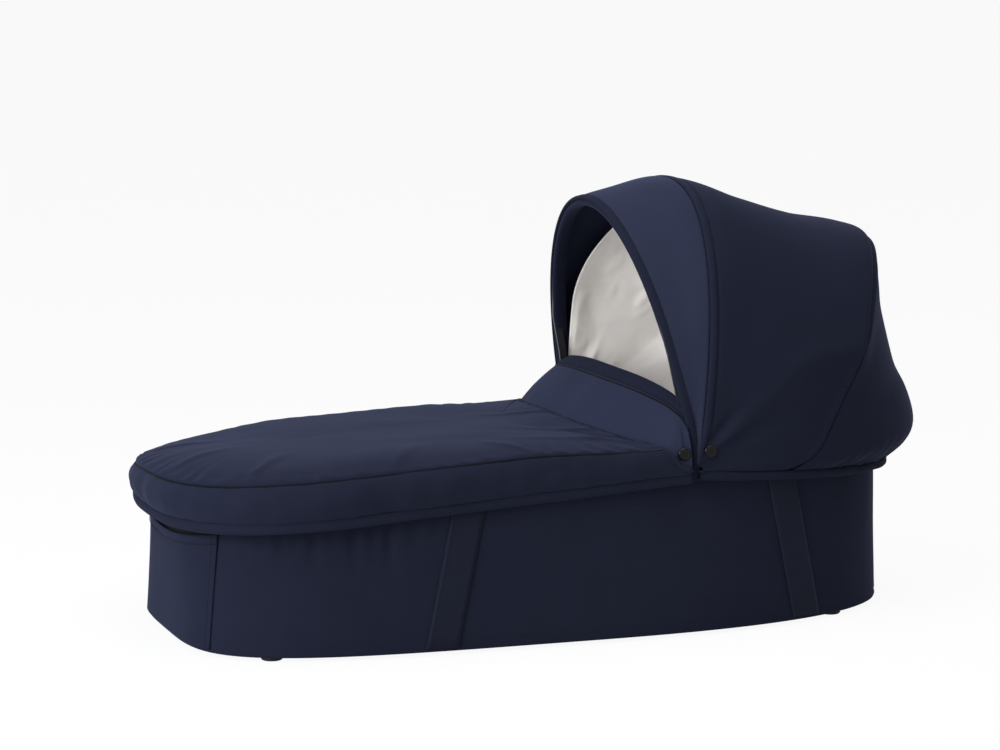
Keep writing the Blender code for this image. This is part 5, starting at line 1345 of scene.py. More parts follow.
def flap_grid():
    """Outer face of the wind flap, from its seam up to its top edge."""
    shares = np.linspace(0, 1, 190)
    low = flap_seam(shares)
    high = across_curve(flap_top_knots(), shares)
    rises = np.linspace(0, 1, 34)
    grid = np.array([lerp(low, high, rise) for rise in rises])
    normal = grid_normals(grid)
    if middle_of(normal)[0] > 0:
        normal = -normal
    rise = rises[:, None]
    puff = FLAP_BULGE * np.sin(math.pi * rise) ** 0.75
    pucker = seam_noise(shares * FLAP_ARC, 17 * MM, 71)[None, :] * MM
    pucker = pucker * bell(rise - 0.08, 0.16) * smooth(rise / 0.05)
    soft = cloth_noise(grid, 55 * MM, 73) * 1.4 * MM * np.sin(math.pi * rise)
    away = puff + pucker + soft
    for side in (LEFT, RIGHT):
        snap = (FLAP_SNAP[0], side * APRON_WIDTH / 2, FLAP_SNAP[1])
        for x, y, z in FLAP_DRAGS:
            goal = (x * MM, side * y * MM, z * MM)
            away = away + crease(grid, snap, goal, FLAP_DRAG_WIDTH) * FLAP_DRAG_HEIGHT
        away = away - bell(np.linalg.norm(grid - snap, axis=-1), 9 * MM) * 1.2 * MM
    rim = 0.5 * MM * smooth((rise - 0.94) / 0.03)
    grid = grid + normal * (away * smooth((1 - rise) / 0.06) + rim)[..., None]
    tuck = grid[:1] - FLAP_TUCK
    return np.concatenate((tuck, grid)), np.concatenate((normal[:1], normal)), np.append(0, rises)


def build_wind_flap():
    """The raised panel: lightly wadded, puckered at its seam, drawn toward its snaps."""
    grid, normal, rises = flap_grid()
    if middle_of(grid_normals(grid)) @ middle_of(normal) < 0:
        grid, normal = grid[:, ::-1], normal[:, ::-1]
    # The flap takes the twill painted lighter: painted light
    panel = cloth("wind_flap_panel", grid, FLAP_CLOTH, finish_of("thin"))
    return panel, grid, normal, rises


def build_flap_binding(grid, normal):
    """Wide doubled binding over the flap's top edge, rolled over to its back."""
    edge, out = grid[-1], normal[-1]
    up = unit(grid[-1] - grid[-4])
    first = -len(FLAP_TAPE_OUT)
    rows = [grid[first + k] + normal[first + k] * lift * MM
            for k, lift in enumerate(FLAP_TAPE_OUT)]
    for rise, lift in FLAP_TAPE_BACK:
        rows.append(edge + up * rise * MM + out * lift * MM)
    return cloth("wind_flap_tape", np.array(rows), FACING_CLOTH, finish_of("hem"))


def build_flap_seam_shadow():
    """Painted shade in the sunk seam between the apron's top and the flap, as a thin near-black ribbon."""
    path = flap_seam(np.linspace(0.07, 0.93, 300))
    path = path + (-1.8 * MM, 0, 1.4 * MM)
    along, across = path_ways(path, np.array((0, 0, 1.0)) + 0 * path)
    return sweep("wind_flap_base_seam_shadow", path, along, across, SEAM_SHADE_HALF_WIDTH, SEAM_SHADE_HALF_WIDTH,
                 finish_of("seam"), sides=8)


def build_flap_tape_shadow(grid, normal):
    """Painted shadow along the lower edge of the flap's binding, as a thin near-black ribbon."""
    path = grid[-9] + normal[-9] * 0.1 * MM
    along, across = path_ways(path, normal[-9])
    return sweep("wind_flap_tape_shadow", path, along, across, 1.1 * MM, 1.0 * MM,
                 finish_of("seam"), sides=8)


# Hood
def hood_turns(angle, first, count):
    """Turns from side to side, spaced evenly over the skin, from a radius off the fan."""
    start = float(hood_turn_at(angle, first))
    fine = np.linspace(start, 180 - start, 900)
    arc = arc_along(hood_point(angle, fine))
    return np.interp(np.linspace(0, arc[-1], count), arc, fine)


def fan_radius(angle, turn):
    """Distance of the skin from the fan point, seen from the side."""
    point = hood_point(angle, turn)
    return np.hypot(point[..., 0] - FAN_X, point[..., 2] - FAN_Z)


def hood_rows(turns, low, high, low_steps, high_steps, middle):
    """Angles of the rows between two edges, with rows at set distances beside each edge."""
    low = np.broadcast_to(low, turns.shape)
    high = np.broadcast_to(high, turns.shape)
    radius = np.maximum(fan_radius(high, turns), HUB_RADIUS)
    room = (high - low) / 2.2
    rows = [low + np.minimum(np.degrees(step / radius), room) for step in low_steps]
    last = [high - np.minimum(np.degrees(step / radius), room) for step in high_steps]
    for share in np.linspace(0, 1, middle + 2)[1:-1]:
        rows.append(lerp(rows[len(low_steps) - 1], last[-1], share))
    return np.array(rows + last[::-1])


def blend_share(angle):
    """How far a point of the hood goes with the middle bow rather than with the tub."""
    return np.interp(angle, (HEM_ANGLE, RIDGE_ANGLE, MIDDLE_ANGLE), (0, 0.5, 1))


# Folds that spread from each hood snap: x and z of the far end, width and share of the height
HOOD_DRAGS = (
    (215, 262, 15, 1.0), (262, 232, 12, -0.6), (180, 300, 14, -0.5), (300, 205, 12, 0.6),
    (150, 330, 9, 0.5),
)

# Far ends, as x and z, of the lining's folds that bunch at the hubs
LINING_DRAGS = ((150, 250), (185, 240), (215, 215), (168, 285), (235, 190))
LINING_DRAG_WIDTH = 4.5 * MM
LINING_HALF = 184 * MM

# Section of the hood's hem from its top down: drop and how far out, in millimetres
HOOD_HEM_FOLD = (
    (-0.8, -2.2), (0.0, -1.8), (0.6, -0.7), (1.4, 0.5), (2.6, 1.2), (4.6, 1.5), (6.8, 1.4),
    (8.4, 0.8), (9.3, -0.1), (9.5, -1.0),
)

# Distances from an edge of the hood at which its panels have a row
SEAM_STEPS = (0.0, 0.8 * MM, 1.8 * MM, 3.0 * MM, 5.0 * MM)
VISOR_STEPS = (0.0, 1 * MM, 3 * MM)
CHANNEL_STEPS = (0.0, 0.7 * MM, 1.6 * MM, 3.5 * MM, 5.5 * MM, 7.2 * MM, 8.0 * MM, 8.8 * MM,
                 10.5 * MM, 14 * MM)


def looks_in(grid):
    """Whether a hood grid's face looks toward the fan point."""
    return middle_of(grid_normals(grid)) @ (middle_of(grid) - (FAN_X, 0, FAN_Z)) < 0


def outward(grid):
    """Normals of a hood grid, turned away from the fan point."""
    return grid_normals(grid) * (-1 if looks_in(grid) else 1)


def facing(grid):
    """The grid, with its columns reversed if its face looks inward."""
    return grid[:, ::-1] if looks_in(grid) else grid


def hood_creases(grid, depth):
    """Soft folds that spread from each hood snap and from the hub, up over the side."""
    away = np.zeros(grid.shape[:2])
    for side in (LEFT, RIGHT):
        snap = (HOOD_SNAP[0], side * HOOD_HALF, HOOD_SNAP[1])
        for x, z, width, size in HOOD_DRAGS:
            end = (x * MM, side * HOOD_HALF, z * MM)
            away = away + crease(grid, snap, end, width * MM) * depth * size
    return away


def snap_drags(grid, deep):
    """Short pleat from each snap up toward the head, and the hollow above it."""
    away = np.zeros(grid.shape[:2])
    for side in (LEFT, RIGHT):
        snap = np.array((HOOD_SNAP[0], side * HOOD_HALF, HOOD_SNAP[1]))
        pleat = snap + (44 * MM, 0, 27 * MM)
        hollow = snap + (62 * MM, -side * 4 * MM, 68 * MM)
        away = away + crease(grid, snap + (4 * MM, 0, 4 * MM), pleat, 5 * MM) * 1.3 * deep
        away = away - crease(grid, snap + (2 * MM, 0, 12 * MM), hollow, 8 * MM) * 1.2 * deep
    return away


def build_hood_main(depth):
    """Main panel, from the curved rear seam to the channel behind the middle bow."""
    turns = hood_turns(MIDDLE_ANGLE, 4 * MM, 220)
    angles = hood_rows(turns, seam_angle(turns), MIDDLE_ANGLE, SEAM_STEPS, CHANNEL_STEPS, 46)
    turn = np.broadcast_to(turns, angles.shape)
    grid = hood_point(angles, turn)
    normal = outward(grid)
    radius = np.maximum(fan_radius(MIDDLE_ANGLE, turns), HUB_RADIUS)[None, :]
    from_bow = np.radians(MIDDLE_ANGLE - angles) * radius
    from_seam = np.radians(angles - seam_angle(turn)) * radius
    rim = np.minimum(turn, 180 - turn)
    tall = smooth(rim / 6)
    channel = 0.9 * MM * smooth((CHANNEL_WIDTH - from_bow) / (1.2 * MM))
    grooves = -1.6 * MM * bell(from_bow, 1.2 * MM) - 0.8 * MM * bell(from_bow - 8.6 * MM, 1.0 * MM)
    grooves = grooves - 1.3 * MM * bell(from_seam, 1.4 * MM)
    roll = 0.8 * MM * bell(from_seam - 5 * MM, 4 * MM)
    soft = cloth_noise(grid, 120 * MM, 81) * 2.2 * MM + cloth_noise(grid, 48 * MM, 83) * 0.5 * MM
    inner = smooth(from_seam / (25 * MM)) * smooth((from_bow - 8 * MM) / (25 * MM))
    away = (channel + grooves + roll + snap_drags(grid, depth)) * tall
    away = away + (soft + hood_creases(grid, depth)) * inner
    grid = grid + normal * away[..., None]
    return hood_cloth("hood_main_cloth", grid, blend_share(angles), "twill")


def hood_cloth(name, grid, weights, finish, thickness=HOOD_CLOTH, turned=False):
    """Cloth whose face looks outward, or inward if turned, with a share for each point."""
    if looks_in(grid) != turned:
        grid, weights = grid[:, ::-1], weights[:, ::-1]
    piece = cloth(name, grid, thickness, finish_of(finish))
    return piece, np.tile(weights.ravel(), 2)


def build_hood_rear():
    """Rear panel: smooth at the seam and gathered into the hem round the head end."""
    start = SEAM_START + 1.5
    turns = np.linspace(start, 180 - start, 240)
    seam = seam_angle(turns)
    angles = lerp(HEM_ANGLE, seam, (np.linspace(0, 1, 44) ** 1.15)[:, None])
    turn = np.broadcast_to(turns, angles.shape)
    grid = hood_point(angles, turn)
    normal = outward(grid)
    radius = fan_radius(HEM_ANGLE, turns)[None, :]
    from_hem = np.radians(angles - HEM_ANGLE) * radius
    from_seam = np.radians(seam[None, :] - angles) * radius
    arc = arc_along(grid[0])
    drift = seam_noise(arc, 35 * MM, 91)
    gather = np.sin(arc / GATHER_PITCH * 2 * math.pi + drift * 9) * (0.35 + 1.1 * drift)
    head = smooth((grid[0, :, 0] - 270 * MM) / (60 * MM))
    fade = np.exp(-(from_hem / (15 * MM)) ** 1.3)
    away = (gather * (0.35 + 0.65 * head) * GATHER_HEIGHT)[None, :] * fade
    away = away + cloth_noise(grid, 70 * MM, 93) * 1.8 * MM * smooth(from_seam / (25 * MM))
    away = away - 1.3 * MM * bell(from_seam, 1.4 * MM)
    away = away * smooth((turn - start) / 4) * smooth((180 - start - turn) / 4)
    grid = grid + normal * away[..., None]
    grid[..., 2] -= 0.2 * MM
    return hood_cloth("hood_rear_cloth", grid, blend_share(angles), "twill")


def build_hood_hem():
    """Bound hem below the rear panel, waved by its gathers and rolled at its foot."""
    turns = hood_turns(HEM_ANGLE, 2.5 * MM, 420)
    base = hood_point(HEM_ANGLE, turns)
    lead = np.linspace((FAN_X + 4.5 * MM, base[0, 1], base[0, 2]), base[0], 6)[:-1]
    base = np.concatenate((lead, base, lead[::-1] * (1, -1, 1)))
    normal = unit(np.cross(np.gradient(base, axis=0), (0, 0, 1.0)))
    if normal[len(base) // 2, 0] < 0:
        normal = -normal
    arc = arc_along(base)
    head = smooth((base[:, 0] - 260 * MM) / (60 * MM))
    wave = seam_noise(arc, 26 * MM, 101) * (0.8 + 1.3 * head) * MM
    rise = seam_noise(arc, 34 * MM, 103) * (0.9 + 1.2 * head) * MM
    rows = []
    for drop, out in HOOD_HEM_FOLD:
        row = base + normal * (out * MM + wave)[:, None]
        row[:, 2] -= drop * MM - rise * (1 - drop / 12)
        rows.append(row)
    return cloth("hood_bound_hem", facing(np.array(rows)), HEM_CLOTH, finish_of("hem"))


def build_visor():
    """Front panel between the two upper bows, drawn in a little between them."""
    turns = hood_turns(VISOR_ANGLE, 5 * MM, 220)
    angles = hood_rows(turns, MIDDLE_ANGLE, VISOR_ANGLE, SEAM_STEPS, VISOR_STEPS, 22)
    turn = np.broadcast_to(turns, angles.shape)
    grid = hood_point(angles, turn)
    normal = outward(grid)
    share = (angles - MIDDLE_ANGLE) / (VISOR_ANGLE - MIDDLE_ANGLE)
    radius = np.maximum(fan_radius(MIDDLE_ANGLE, turns), HUB_RADIUS)[None, :]
    from_bow = np.radians(angles - MIDDLE_ANGLE) * radius
    tall = smooth(np.minimum(turn, 180 - turn) / 10)
    draw = -3.0 * MM * np.sin(math.pi * share) ** 2 * tall
    groove = -1.6 * MM * bell(from_bow, 1.3 * MM)
    soft = cloth_noise(grid, 80 * MM, 111) * 1.6 * MM * np.sin(math.pi * share)
    drag = np.zeros(share.shape)
    for side in (LEFT, RIGHT):
        start = (FAN_X - 2 * MM, side * HOOD_HALF, FAN_Z + 60 * MM)
        end = (FAN_X - 8 * MM, side * 165 * MM, FAN_Z + 215 * MM)
        drag = drag + crease(grid, start, end, 14 * MM) * 1.6 * MM
    away = draw + (groove + (soft + drag) * smooth(from_bow / (12 * MM))) * tall
    grid = grid + normal * away[..., None]
    # The visor takes the twill painted lighter: painted light
    return hood_cloth("hood_visor_cloth", grid, share, "thin")


def front_edge(drop):
    """Path of the hood's front edge, its feet a drop below the fan point on each side."""
    turns = hood_turns(VISOR_ANGLE, 16 * MM, 320)
    path = hood_point(VISOR_ANGLE, turns)
    foot = path[0]
    low = np.array((FAN_X - 3.5 * MM, foot[1], FAN_Z - drop))
    tail = lerp(low, foot, np.linspace(0, 1, 14)[:-1, None])
    end = tail[::-1] * (1, -1, 1)
    return np.concatenate((tail, path, end))


def edge_ways(path):
    """Across and outward ways along the hood's front edge."""
    tilt = math.radians(VISOR_ANGLE)
    along, out = path_ways(path, np.array((math.sin(tilt), 0, -math.cos(tilt))))
    middle = len(path) // 2
    if out[middle, 2] < 0:
        out = -out
    back = unit(np.cross(out, along))
    if back[middle, 0] < 0:
        back = -back
    return back, out


def build_front_binding():
    """Wide ribbed tape folded over the hood's front edge, with its row of stitches."""
    path = front_edge(10 * MM)
    back, out = edge_ways(path)
    centre = path + back * 3.2 * MM - out * 0.7 * MM
    tape = sweep("hood_front_tape", centre, back, out, 4.2 * MM, 2.3 * MM, finish_of("hem"),
                 sides=20, squareness=3.2)
    seam = centre + back * 2.7 * MM + out * 2.15 * MM
    thread = stitches("hood_front_stitches", seam, out)
    return tape, thread


def build_front_channel():
    """Dark sleeve round the front bow, on the inside of the front edge."""
    path = front_edge(-14 * MM)
    back, out = edge_ways(path)
    centre = path + back * 7 * MM - out * 6.2 * MM
    return sweep("front_bow_sleeve", centre, back, out, 7.5 * MM, 4.2 * MM, finish_of("twill"),
                 sides=24, squareness=2.6)


def lining_front(turns):
    """Angle of the lining's front edge: at the middle bow on top, further forward below."""
    side = smooth((62 - np.minimum(turns, 180 - turns)) / 34)
    return lerp(MIDDLE_ANGLE - 1.5, VISOR_ANGLE - 9.5, side)


def build_lining(deep):
    """White lining: hung slack from the middle bow back, wrinkled and drawn to the hubs."""
    turns = hood_turns(MIDDLE_ANGLE, 20 * MM, 210)
    low = HEM_ANGLE + math.degrees(LINING_HEM_RISE / LINING_REACH)
    rises = np.linspace(0, 1, 90)[:, None]
    high = lining_front(turns)
    angles = lerp(low, high, rises + 0 * turns)
    turn = np.broadcast_to(turns, angles.shape)
    grid = hood_point(angles, turn, LINING_INSET)
    normal = outward(grid)
    drift = [cloth_noise(grid, 60 * MM, seed) for seed in (121, 122, 123)]
    warped = grid + np.stack(drift, -1) * 20 * MM
    ridged = 1 - np.abs(cloth_noise(warped * (1, 1, 0.6), 42 * MM, 125)) * 2.4
    fine = 1 - np.abs(cloth_noise(warped * (1.2, 1, 0.9), 19 * MM, 127)) * 2.2
    broad = cloth_noise(grid, 90 * MM, 129)
    away = deep * (0.9 * ridged + 0.35 * fine + 1.1 * broad)
    bunch = np.zeros(away.shape)
    for side in (LEFT, RIGHT):
        start = (FAN_X + 6 * MM, side * LINING_HALF, FAN_Z + 18 * MM)
        for k, (x, z) in enumerate(LINING_DRAGS):
            end = (x * MM, side * LINING_HALF, z * MM)
            line = crease(grid, start, end, LINING_DRAG_WIDTH)
            bunch = bunch + line * (1.6 - 0.2 * k) * deep
    edge = smooth((angles - low) / 3) * smooth((high - angles) / 4)
    grid = grid + normal * ((np.minimum(away, 0.3 * deep) - bunch - 0.6 * deep) * edge)[..., None]
    return hood_cloth("hood_white_lining", grid, blend_share(angles), "cotton",
                      thickness=LINING_CLOTH, turned=True)


# Snaps: the cap's section from its crown out, as shares of its radius and its height
SNAP_PROFILE = (
    (0.25, 0.94), (0.45, 0.86), (0.58, 0.76), (0.64, 0.66), (0.70, 0.68), (0.80, 0.62),
    (0.92, 0.45), (0.985, 0.28), (1.0, 0.12), (0.985, 0.0), (0.93, -0.1),
)
SNAP_SIDES = 40


def build_snap(name, centre, side, face_y):
    """A domed cap with a rolled rim and a ring groove, its axis across the cot."""
    turn = np.linspace(0, 2 * math.pi, SNAP_SIDES, endpoint=False)
    rings = []
    for share, height in SNAP_PROFILE:
        ring = np.stack((
            centre[0] + SNAP_RADIUS * share * np.cos(turn),
            side * (face_y - SNAP_HEIGHT * (1 - height)) + 0 * turn,
            centre[1] + SNAP_RADIUS * share * np.sin(turn),
        ), -1)
        rings.append(ring)
    grid = np.array(rings)
    if side == RIGHT:
        grid = grid[::-1]
    return solid_of_rings(name, grid, finish_of("snap"))


def snap_face(node_name):
    """How far out a snap's cap reaches in the frame, from the cot's middle plane."""
    low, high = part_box(node_name)
    return max(abs(low[1]), abs(high[1]))


# Pieces on their bodies
def cut_sizes(grid, wrap=False):
    """Longest row and longest column of a grid, as the width and length of its cut."""
    ring = np.concatenate((grid, grid[:, :1]), axis=1) if wrap else grid
    width = np.linalg.norm(np.diff(ring, axis=1), axis=-1).sum(axis=1).max()
    length = np.linalg.norm(np.diff(grid, axis=0), axis=-1).sum(axis=0).max()
    return float(width), float(length)


def finish_kept(name, *node_names):
    """Gives CAD nodes that stay in the scene their finish."""
    for node_name in node_names:
        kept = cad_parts[node_name]
        kept.data.materials.clear()
        kept.data.materials.append(finish_of(name))


def scene_folds():
    return bpy.context.scene.carrycot_folds


class CARRYCOT_OT_tub(bpy.types.Operator):
    """Sews the tub's cover, its foot panel and its two carry straps"""

    bl_idname = "carrycot.tub"
    bl_label = "Tub cover and straps"

    def execute(self, context):
        cover = build_tub_cover(scene_folds().gather_depth)
        dress(cover, "cot", "navy_twill", "outer_cover")
        panel, grid, normal = build_foot_panel()
        dress(panel, "cot", "navy_twill", "foot_panel")
        # Painted shadow in the pocket's mouth, as a near-black strip
        dress(build_pocket_shadow(), "cot", "navy_twill")
        row = grid[-5] + normal[-5] * 0.6 * MM
        dress(stitches("foot_panel_hem_stitches", row, normal[-8]), "cot", "navy_twill")
        for name, column in (("left", 4), ("right", -5)):
            line = grid[:, column] + normal[:, column] * 0.1 * MM
            side_seam = stitches(f"foot_panel_{name}_stitches", line, normal[:, column])
            dress(side_seam, "cot", "navy_twill")
        for side, name in SIDES.items():
            strap, rows, ways = build_strap(side)
            dress(strap, "cot", "binding_tape", f"carry_strap_{name}")
            for column, label in ((0, "a"), (-1, "b")):
                inner = lerp(rows[:, column], rows[:, -1 - column], 0.09)
                lines = stitches(f"strap_stitches_{name}_{label}", inner[:LEG_ROWS],
                                 ways[:LEG_ROWS, column])
                dress(lines, "cot", "binding_tape")
        return {"FINISHED"}


class CARRYCOT_OT_bed(bpy.types.Operator):
    """Lines the tub in white and lays the mattress in it"""

    bl_idname = "carrycot.bed"
    bl_label = "Liner and mattress"

    def execute(self, context):
        liner = dress(build_liner(), "cot", "pale_lining", "inner_liner")
        pad = dress(build_mattress(), "cot", "mattress_cover", "mattress")
        return {"FINISHED"}


class CARRYCOT_OT_apron(bpy.types.Operator):
    """Sews the padded apron: its crowned top, piped seam, puffed band and stitched hem"""

    bl_idname = "carrycot.apron"
    bl_label = "Padded apron"

    def execute(self, context):
        folds = scene_folds()
        top = dress(build_apron_top(folds), "apron", "navy_twill", "apron_top")
        band = dress(build_apron_band(folds), "apron", "navy_twill", "apron_band")
        dress(build_apron_hem(), "apron", "navy_twill", "apron_hem")
        # The piping and the sunk seams are near black: painted shade in their grooves, over the piping's
        # real cord
        dress(build_apron_piping(), "apron", "binding_tape", "apron_piping")
        dress(build_hem_groove_shadow(), "apron", "binding_tape")
        dress(build_flap_seam_shadow(), "apron", "binding_tape")
        path, normal = hem_paths()
        line = path + normal * 0.8 * MM
        line[:, 2] += HEM_HEIGHT / 2 - 1.9 * MM
        dress(stitches("apron_hem_stitches", line, normal), "apron", "navy_twill")
        return {"FINISHED"}


class CARRYCOT_OT_wind_flap(bpy.types.Operator):
    """Raises the wind flap from the apron's seam and binds its top edge"""

    bl_idname = "carrycot.wind_flap"
    bl_label = "Wind flap"

    def execute(self, context):
        panel, grid, normal, rises = build_wind_flap()
        shares = np.broadcast_to(rises[:, None], grid.shape[:2])
        weights = np.tile(shares.ravel(), 2)
        stretch(panel, weights, "apron", "wind_flap", "navy_twill", "wind_flap")
        binding = build_flap_binding(grid, normal)
        dress(binding, "wind_flap", "binding_tape", "wind_flap_binding")
        # Painted shadow under the binding's lower edge, a near-black ribbon
        dress(build_flap_tape_shadow(grid, normal), "wind_flap", "binding_tape")
        row = grid[-7] + normal[-7] * 1.5 * MM
        lines = stitches("wind_flap_stitches", row[6:-6], normal[-7][6:-6])
        dress(lines, "wind_flap", "binding_tape")
        return {"FINISHED"}


class CARRYCOT_OT_hood(bpy.types.Operator):
    """Stretches the hood's three panels over the bows and binds its front edge and hem"""

    bl_idname = "carrycot.hood"
    bl_label = "Hood"

    def execute(self, context):
        main_panel, weights = build_hood_main(scene_folds().hood_crease)
        stretch(main_panel, weights, "cot", "middle_bow", "navy_twill", "hood_main_panel")
        rear, weights = build_hood_rear()
        stretch(rear, weights, "cot", "middle_bow", "navy_twill", "hood_rear_panel")
        visor, weights = build_visor()
        stretch(visor, weights, "middle_bow", "front_bow", "navy_twill", "hood_visor")
        dress(build_hood_hem(), "cot", "navy_twill", "hood_hem")
        tape, thread = build_front_binding()
        dress(tape, "front_bow", "binding_tape")
        dress(thread, "front_bow", "binding_tape")
        dress(build_front_channel(), "front_bow", "navy_twill")
        return {"FINISHED"}


class CARRYCOT_OT_lining(bpy.types.Operator):
    """Hangs the hood's white lining, slack and wrinkled"""

    bl_idname = "carrycot.lining"
    bl_label = "Hood lining"

    def execute(self, context):
        lining, weights = build_lining(scene_folds().lining_wrinkle)
        stretch(lining, weights, "cot", "middle_bow", "pale_lining",
                "hood_lining_main", "hood_lining_rear")
        return {"FINISHED"}


class CARRYCOT_OT_snaps(bpy.types.Operator):
    """Sets the two domed snap caps on each side"""

    bl_idname = "carrycot.snaps"
    bl_label = "Snap caps"

    def execute(self, context):
        for side, name in SIDES.items():
            for where, body, centre in (
                ("flap_snap", "wind_flap", FLAP_SNAP), ("hood_snap", "middle_bow", HOOD_SNAP),
            ):
                node_name = f"{where}_{name}"
                cap = build_snap(f"{node_name}_cap", centre, side, snap_face(node_name))
                dress(cap, body, "nylon", node_name)
        return {"FINISHED"}


class CARRYCOT_OT_hard_parts(bpy.types.Operator):
    """Gives the board, feet, rim tube, stays, brackets, pins, grips and bows their finishes"""

    bl_idname = "carrycot.hard_parts"
    bl_label = "Hard parts"

    def execute(self, context):
        finish_kept("board", "base_board")
        finish_kept("aluminium", "rim_tube")
        finish_kept("steel", "foot_stay", "head_stay", "hood_pin_left", "hood_pin_right")
        finish_kept("bow", "rear_bow", "middle_bow", "front_bow")
        finish_kept("grip", "handle_grip_left", "handle_grip_right")
        for end in ("foot", "head"):
            for name in SIDES.values():
                finish_kept("nylon", f"{end}_stay_clip_{name}")
                finish_kept("rubber", f"rubber_foot_{end}_end_{name}")
        for name in SIDES.values():
            finish_kept("nylon", f"hood_bracket_{name}")
        return {"FINISHED"}


# Stage
def aim(thing, target):
    """Turns a light or camera to look at a target."""
    way = Vector(target) - thing.location
    thing.rotation_euler = way.to_track_quat("-Z", "Y").to_euler()


def add_light(name, place, target, size, watts, shade):
    """A rectangular softbox aimed at its target."""
    lamp = bpy.data.lights.new(name, "AREA")
    lamp.shape = "RECTANGLE"
    lamp.size, lamp.size_y = size
    lamp.energy = watts
    lamp.color = linear(shade)[:3]
    light = bpy.data.objects.new(name, lamp)
    bpy.context.scene.collection.objects.link(light)
    light.location = place
    aim(light, target)
    return light


def photo_camera():
    """Camera at the photograph's angle, aimed at its target."""
    lens = bpy.data.cameras.new("photo_camera")
    lens.lens = CAMERA_LENS
    lens.sensor_width = SENSOR_WIDTH
    camera = bpy.data.objects.new("photo_camera", lens)
    bpy.context.scene.collection.objects.link(camera)
    turn, rise = math.radians(CAMERA_TURN), math.radians(CAMERA_RISE)
    level = math.cos(rise)
    way = Vector((math.sin(turn) * level, -math.cos(turn) * level, math.sin(rise)))
    camera.location = Vector(CAMERA_TARGET) + way * CAMERA_DISTANCE
    aim(camera, CAMERA_TARGET)
    return camera


def seen_rays(tree):
    """One for the rays that show the background: to the camera, mirrored or through glass."""
    path = node(tree, "ShaderNodeLightPath")
    either = node(tree, "ShaderNodeMath", [(0, path.outputs["Is Camera Ray"])],
                  operation="MAXIMUM")
    tree.links.new(path.outputs["Is Glossy Ray"], either.inputs[1])
    seen = node(tree, "ShaderNodeMath", [(0, either.outputs["Value"])], operation="MAXIMUM")
    tree.links.new(path.outputs["Is Transmission Ray"], seen.inputs[1])
    return seen.outputs["Value"]


def studio_paper():
    """Pale seamless paper, matt; where it is seen it shows nearly evenly lit."""
    paper, tree, shader = new_finish("matt_studio_paper", Base_Color=linear("f2f2f2"),
                                     Roughness=0.95, Specular_IOR_Level=0.1)
    share = node(tree, "ShaderNodeMath", [(0, seen_rays(tree))], operation="MULTIPLY")
    share.inputs[1].default_value = PAPER_GLOW
    lit = node(tree, "ShaderNodeEmission", Strength=1.0)
    lit.inputs["Color"].default_value = linear(WHITE)
    mix = node(tree, "ShaderNodeMixShader", [("Fac", share.outputs["Value"])])
    tree.links.new(shader.outputs["BSDF"], mix.inputs[1])
    tree.links.new(lit.outputs["Emission"], mix.inputs[2])
    tree.links.new(mix.outputs["Shader"], tree.nodes["Material Output"].inputs["Surface"])
    return paper


def studio_floor():
    """One wide square of paper under the cot."""
    low = CAD_LOW[2]
    ways = ((-1, -1), (1, -1), (1, 1), (-1, 1))
    mesh = bpy.data.meshes.new("studio_floor")
    mesh.from_pydata([(x * FLOOR_REACH, y * FLOOR_REACH, low) for x, y in ways], [],
                     [(0, 1, 2, 3)])
    mesh.materials.append(studio_paper())
    floor = bpy.data.objects.new("studio_floor", mesh)
    bpy.context.scene.collection.objects.link(floor)
    return floor


def white_world():
    """World that shows plain white and lights the cot faintly."""
    world = bpy.data.worlds.new("white_studio")
    world.use_nodes = True
    tree = world.node_tree
    lit = tree.nodes["Background"]
    lit.inputs["Color"].default_value = linear(WHITE)
    lit.inputs["Strength"].default_value = WORLD_LIGHT
    seen = node(tree, "ShaderNodeBackground", Strength=1.0)
    seen.inputs["Color"].default_value = linear(WHITE)
    mix = node(tree, "ShaderNodeMixShader", [("Fac", seen_rays(tree))])
    tree.links.new(lit.outputs["Background"], mix.inputs[1])
    tree.links.new(seen.outputs["Background"], mix.inputs[2])
    tree.links.new(mix.outputs["Shader"], tree.nodes["World Output"].inputs["Surface"])
    return world


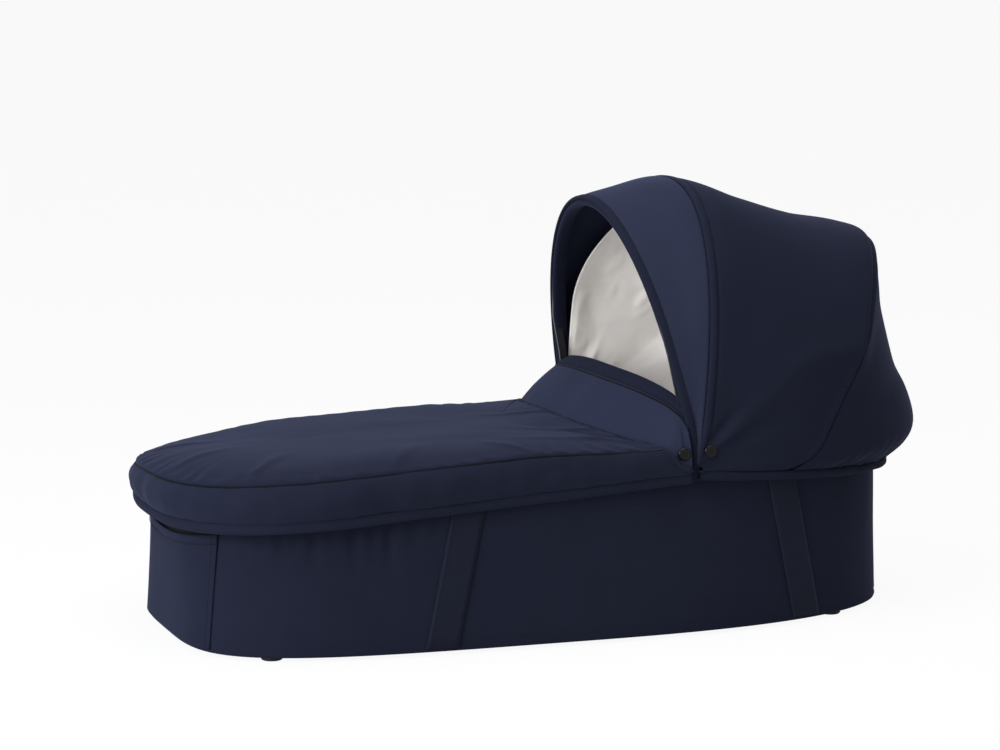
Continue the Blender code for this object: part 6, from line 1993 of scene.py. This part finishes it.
class CARRYCOT_OT_stage(bpy.types.Operator):
    """Sets the pale floor, the white background, three soft lights and the camera"""

    bl_idname = "carrycot.stage"
    bl_label = "Floor, lights and camera"

    def execute(self, context):
        scene = context.scene
        scene.view_settings.view_transform = "Standard"
        lights = [add_light(*softbox) for softbox in SOFTBOXES]
        scene.world = white_world()
        scene.camera = photo_camera()
        studio_floor()
        return {"FINISHED"}


class CARRYCOT_PT_panel(bpy.types.Panel):
    """Lists the cot's shades, its folds and the steps that build it."""

    bl_idname = "CARRYCOT_PT_panel"
    bl_label = "Carrycot"
    bl_space_type = "VIEW_3D"
    bl_region_type = "UI"
    bl_category = "Carrycot"

    def draw(self, context):
        layout = self.layout
        for group in (context.scene.carrycot_cloth, context.scene.carrycot_folds):
            box = layout.box()
            for key in group.bl_rna.properties.keys():
                if key not in {"rna_type", "name"}:
                    box.prop(group, key)
        for step in STEPS:
            layout.operator(step.bl_idname)


STEPS = (
    CARRYCOT_OT_tub, CARRYCOT_OT_bed, CARRYCOT_OT_apron, CARRYCOT_OT_wind_flap,
    CARRYCOT_OT_hood, CARRYCOT_OT_lining, CARRYCOT_OT_snaps, CARRYCOT_OT_hard_parts,
    CARRYCOT_OT_stage,
)
CLASSES = (CarrycotCloth, CarrycotFolds) + STEPS + (CARRYCOT_PT_panel,)


def register():
    for one in CLASSES:
        bpy.utils.register_class(one)
    bpy.types.Scene.carrycot_cloth = bpy.props.PointerProperty(type=CarrycotCloth)
    bpy.types.Scene.carrycot_folds = bpy.props.PointerProperty(type=CarrycotFolds)


def unregister():
    del bpy.types.Scene.carrycot_folds
    del bpy.types.Scene.carrycot_cloth
    for one in reversed(CLASSES):
        bpy.utils.unregister_class(one)


def main():
    register()
    bpy.ops.carrycot.tub()
    bpy.ops.carrycot.bed()
    bpy.ops.carrycot.apron()
    bpy.ops.carrycot.wind_flap()
    bpy.ops.carrycot.hood()
    bpy.ops.carrycot.lining()
    bpy.ops.carrycot.snaps()
    bpy.ops.carrycot.hard_parts()
    bpy.ops.carrycot.stage()


if __name__ == "__main__":
    main()
